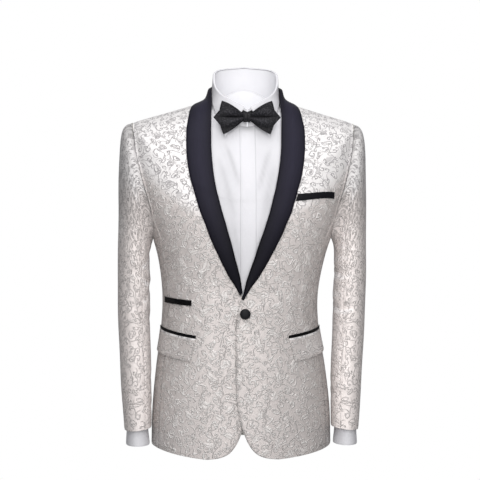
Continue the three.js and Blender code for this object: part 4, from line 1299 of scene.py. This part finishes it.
def strewn(look, place, size, seed, strays):
    """Square cells, each with a random middle and turn. Gives x and y from it, and two random numbers."""
    moved = place.rotated(seed).vector("MULTIPLY_ADD", (1 / size, 1 / size, 0), (seed, seed * 1.7, 0))
    random = look.add("ShaderNodeTexWhiteNoise", moved.vector("FLOOR"), output=1, noise_dimensions="3D")
    local = moved.vector("FRACTION").vector("SUBTRACT", (0.5, 0.5, 0)).scaled(size)
    stray = size * strays
    shift = random.vector("SUBTRACT", (0.5, 0.5, 0.5)).vector("MULTIPLY", (stray, stray, 0))
    first, second, third = random.parts()
    x, y, _ = local.vector("SUBTRACT", shift).rotated(third * TURN).parts()
    return x, y, first, second


def ridge(look, distance, half_width):
    """A line's own mask, and the wider rise of the cloth under it."""
    mask = look.fade(distance, half_width + LINE_SOFTNESS, half_width - LINE_SOFTNESS)
    return mask, look.fade(distance, half_width + RISE, 0.0)


def both(operation, pair, other):
    other = other if isinstance(other, tuple) else (other, other)
    return tuple(a.math(operation, b) for a, b in zip(pair, other))


def scrolls(look, place, size, seed, line):
    """Open curls that wind in to a bead, one in each cell, left-handed and right-handed."""
    x, y, _, hand = strewn(look, place, size, seed, SCROLL["strays"])
    angle = (y * (hand - 0.5).math("SIGN")).math("ARCTAN2", x) / TURN
    radius = (x * x + y * y).math("SQRT")
    pitch = size * SCROLL["pitch"]
    distance = abs((radius / pitch - angle).math("FRACT") - 0.5) * pitch
    thin, end = (look.fade(radius, *(size * share for share in SCROLL[key])) for key in ("thin", "end"))
    curl = both("MULTIPLY", ridge(look, distance, thin * line), end)
    return both("MAXIMUM", curl, ridge(look, radius, line * SCROLL["bead"]))


def stems(look, place, size, slant, line):
    """Stems that wind across the cloth in rows, broken here and there."""
    x, y, _ = place.rotated(slant).parts()
    wave = (x * (TURN / (size * STEM["period"]))).math("SINE") * (size * STEM["swing"])
    distance = abs(((y + wave) / size).math("FRACT") - 0.5) * size
    gaps = look.fade((x * (TURN / (size * STEM["gap_period"]))).math("SINE"), *STEM["gap"])
    return both("MULTIPLY", ridge(look, distance, line), gaps)


def leaves(look, place, size, seed, share):
    """Curved leaves with a lobed edge and an open vein, in a share of the cells."""
    x, y, chance, _ = strewn(look, place, size, seed, LEAFLET["strays"])
    away = abs(y - x * x * (LEAFLET["bend"] / size))
    long = x / (size * LEAFLET["reach"])
    lobes = (x * (LEAFLET["lobes"] / size)).math("COSINE") * 0.14 + 0.86
    half = (1.0 - long * long) * (long * LEAFLET["taper"] + 0.75) * (lobes * (size * LEAFLET["half"]))
    inside = half - away
    open_vein = look.fade(away, *LEAFLET["vein"]) * chance.math("LESS_THAN", share)
    return both("MULTIPLY", (look.fade(inside, -0.3, 0.5), look.fade(inside, -RISE, RISE)), open_vein)


def jacquard(look):
    """The figure's share at a place, from 0 on the satin ground to 1 on its lines, and its relief."""
    noise = look.noise(look.place, WANDER["scale"], 1.0, "Color")
    place = look.place.vector("ADD", noise.vector("SUBTRACT", (0.5, 0.5, 0.5)).scaled(WANDER["reach"]))
    figure = both("MULTIPLY", leaves(look, place, *LEAVES), LEAF_SHARE)
    for draw, rows in ((scrolls, SCROLLS), (stems, STEMS)):
        for row in rows:
            figure = both("MAXIMUM", figure, draw(look, place, *row))
    return figure


# Two colours of each cloth, from dark to light. The jacquard has a shaded pair for its ground, and a lit
# pair and a greyer thread for where it faces up: painted light and shade.
SHADED_GROUND = ((0.585, 0.54, 0.525), (0.71, 0.665, 0.65))
LIT_GROUND = ((0.81, 0.79, 0.79), (0.87, 0.855, 0.855))
LIT_THREAD = (0.33, 0.315, 0.325)
JACQUARD_BACK = ((0.52, 0.5, 0.46), (0.6, 0.58, 0.54))
COTTON = ((0.68, 0.68, 0.715), (0.73, 0.73, 0.76))
SILK = ((0.007, 0.007, 0.009), (0.021, 0.020, 0.024))
LAPEL_SATIN = ((0.011, 0.010, 0.018), (0.018, 0.017, 0.029))
TRIM_SATIN = ((0.006, 0.006, 0.008), (0.010, 0.010, 0.013))


def jacquard_back_look():
    look = Look("back of the jacquard", Metallic=0.0, Roughness=0.7)
    look.finish(Base_Color=look.blend(look.noise(look.place, 0.05), *JACQUARD_BACK))
    return look.relief(look.weave(0.6, 1.0), 0.00008)


def jacquard_look(name, low_thread, roughness, shine):
    """White jacquard, with painted light from above: where the cloth faces up its ground is painted lighter
    and its figure greyer; low down the figure takes the given thread colour and the ground a shaded one.
    """
    look = Look(name)
    figure, relief = jacquard(look)
    cloudy = look.noise(look.place, 0.022, 3.0)
    height, tilt = (look.geometry(output).parts()[2] for output in ("Position", "Normal"))
    # Painted light from above: the higher the cloth and the more it faces up, the more it takes the lit
    # colours
    facing_up = look.fade(height * 0.6 + tilt, -0.21, -0.03)
    ground = look.blend(facing_up, look.blend(cloudy, *SHADED_GROUND), look.blend(cloudy, *LIT_GROUND))
    look.colour(look.blend(figure, ground, look.blend(facing_up, low_thread, LIT_THREAD)))
    look.finish(Roughness=look.blend(figure, roughness, 0.5), Metallic=look.blend(figure, shine, 0.1))
    return look.relief(relief * look.blend(facing_up, 1.0, 0.45) + look.weave(0.7, 0.03), 0.0015)


def satin_look(name, colours):
    """Black satin with streaks along it, and painted shade that darkens it lower down."""
    look = Look(name, Metallic=0.0, Specular_IOR_Level=0.09)
    streaks = look.add("ShaderNodeMapping", look.place, inputs={"Scale": (0.9, 0.03, 1.0)})
    tone = look.noise(streaks, 1.0, 3.0)
    # Painted shade, growing lower down
    dark = look.fade(look.geometry("Position").parts()[2], -0.12, -0.38) * -0.72 + 1.0
    look.colour(look.blend(tone, *colours).scaled(dark))
    look.finish(Roughness=look.blend(tone, 0.40, 0.50))
    return look.relief(tone * 0.5 + look.weave(0.45, 0.2), 0.00012)


def cotton_look(name, edge_line=0.0, painted_glow=0.0):
    """White cotton. It can be given a painted glow, light of its own, that brightens it where it lies in
    shade.

    With an edge line, a placket has a stitched line at that x and a shade along both of its edges."""
    look = Look(name, Metallic=0.0, Specular_IOR_Level=0.3, Roughness=0.82)
    look.finish(Emission_Color=(1.0, 1.0, 1.0, 1.0), Emission_Strength=painted_glow)
    white = look.blend(look.noise(look.place, 0.03), *COTTON)
    height = look.noise(look.place, 0.11, 3.0) * 1.2 + look.weave(0.55, 0.08)
    if edge_line:
        x, _, _ = look.place.parts()
        height = height - look.fade(abs(x - edge_line), 0.9, 0.2) * 0.8
        middle = (PLACKET["to"] - PLACKET["from"]) / 2
        white = white.scaled(look.fade(abs(x - middle), middle - 1.6, middle) * -0.22 + 1.0)
    look.colour(white)
    return look.relief(height, 0.0006, 0.55)


def brocade_look(name):
    """Black silk with a faint mottled figure."""
    look = Look(name, Metallic=0.0, Specular_IOR_Level=0.16)
    figure = look.fade(look.noise(look.place, 0.32), 0.5, 0.6)
    look.colour(look.blend(figure, *SILK))
    look.finish(Roughness=look.blend(figure, 0.5, 0.38))
    return look.relief(figure + look.weave(0.5, 0.15), 0.0002, 0.8)


# The looks of the outer and the inner face of each cloth of the jacket
JACKET_LOOKS = [jacquard_look("white jacquard", (0.84, 0.82, 0.805), 0.42, 0.2), jacquard_back_look()]
# The sleeves' copy of the jacquard has threads painted darker where they don't face up: painted shade
SLEEVE_LOOKS = [jacquard_look("sleeve jacquard", (0.52, 0.495, 0.485), 0.52, 0.06), JACKET_LOOKS[1]]
SATIN_LOOK = satin_look("black satin", LAPEL_SATIN)
WELT_LOOK = satin_look("black satin trim", TRIM_SATIN)
COTTON_LOOK = cotton_look("white cotton")
COLLAR_LOOK = cotton_look("collar cotton")
# The insides of the shirt and of the collar glow with painted light
INSIDE_LOOK = cotton_look("inside of the shirt", painted_glow=0.42)
BAND_LOOK = cotton_look("inside of the collar", painted_glow=0.1)
PLACKET_LOOK = cotton_look("placket cotton", edge_line=3.0)
BROCADE_LOOK = brocade_look("black figured silk")
BUTTON_LOOK = brocade_look("button cover")

jacket_fronts()
jacket_sides()
jacket_backs()
jacket_sleeves()
shawl_collar()
jacket_collar_stand()
pockets()
front_button()
shirt_body()
shirt_sleeves()
shirt_cuffs()
shirt_collar()
bow_tie()


# Studio

# Name, place, aim, width and height, watts and colour of each light, in metres
LIGHTS = (
    ("overhead", (0.0, -0.7, 1.4), (0, 0.0, -0.1), (1.6, 1.0), 16, (1.0, 0.995, 0.99)),
    ("front", (0.0, -1.25, 0.0), (0, 0, -0.35), (0.8, 1.4), 12.0, (1.0, 0.985, 0.975)),
)
# The room's light from below, from overhead, and its share at the sides
SKY = {"low": 0.28, "high": 0.48, "sides": 0.3}
FLOOR = {"height": -1.5, "half": 3.0}


def studio():
    """A white room to the camera. What lights the part is brighter overhead and darker at the sides."""
    world = bpy.data.worlds.new("studio")
    bpy.context.scene.world = world
    world.use_nodes = True
    sky = Nodes(world.node_tree)
    lit = sky.tree.nodes["Background"]
    x, _, z = sky.add("ShaderNodeTexCoord").parts()
    sides = sky.blend(sky.fade(abs(x), 0.35, 0.9), 1.0, SKY["sides"])
    sky.put(lit.inputs["Color"], (0.99, 0.99, 1.0, 1))
    sky.put(lit.inputs["Strength"], sky.blend(sky.fade(z, -0.4, 0.8), SKY["low"], SKY["high"]) * sides)
    seen = sky.add("ShaderNodeBackground", (1, 1, 1, 1))
    to_camera = sky.add("ShaderNodeLightPath")
    room = sky.add("ShaderNodeMixShader", to_camera, Value(sky, lit.outputs[0]), seen)
    sky.put(sky.tree.nodes["World Output"].inputs["Surface"], room)

    for name, place, aim, size, watts, colour in LIGHTS:
        light = bpy.data.lights.new(name, "AREA")
        light.shape = "RECTANGLE"
        light.size, light.size_y = size
        light.energy = watts
        light.color = colour
        lamp = added(name, light)
        lamp.visible_camera = False
        lamp.location = place
        lamp.rotation_mode = "QUATERNION"
        lamp.rotation_quaternion = (Vector(place) - Vector(aim)).to_track_quat("Z", "Y")


def floor():
    mesh = bpy.data.meshes.new("floor")
    half = FLOOR["half"]
    corners = [(-half, -half), (half, -half), (half, half), (-half, half)]
    mesh.from_pydata([(x, y, FLOOR["height"]) for x, y in corners], [], [(0, 1, 2, 3)])
    ground = added("floor", mesh)
    look = Look("pale floor", Roughness=0.9)
    tone = look.noise(look.geometry("Position"), 1.5)
    mesh.materials.append(look.finish(Base_Color=look.blend(tone, (0.9, 0.9, 0.9), (0.94, 0.94, 0.94))))


def camera():
    lens = bpy.data.cameras.new("camera")
    width = CAMERA["mm_per_pixel"] * CAMERA["pixels"]
    lens.sensor_width = SENSOR
    lens.lens = SENSOR * CAMERA["distance"] / width
    lens.clip_end = 100
    eye = added("camera", lens)
    turn = math.radians(CAMERA["turn"])
    back = Vector((math.sin(turn), -math.cos(turn), 0))
    right = Vector((math.cos(turn), math.sin(turn), 0))
    target = Vector((0, 0, CAMERA["height"] / 1000)) + right * CAMERA["aside"] / 1000
    eye.location = target + back * CAMERA["distance"] / 1000
    eye.rotation_mode = "QUATERNION"
    eye.rotation_quaternion = back.to_track_quat("Z", "Y")
    bpy.context.scene.camera = eye


studio()
floor()
camera()
bpy.context.scene.view_settings.view_transform = "Standard"
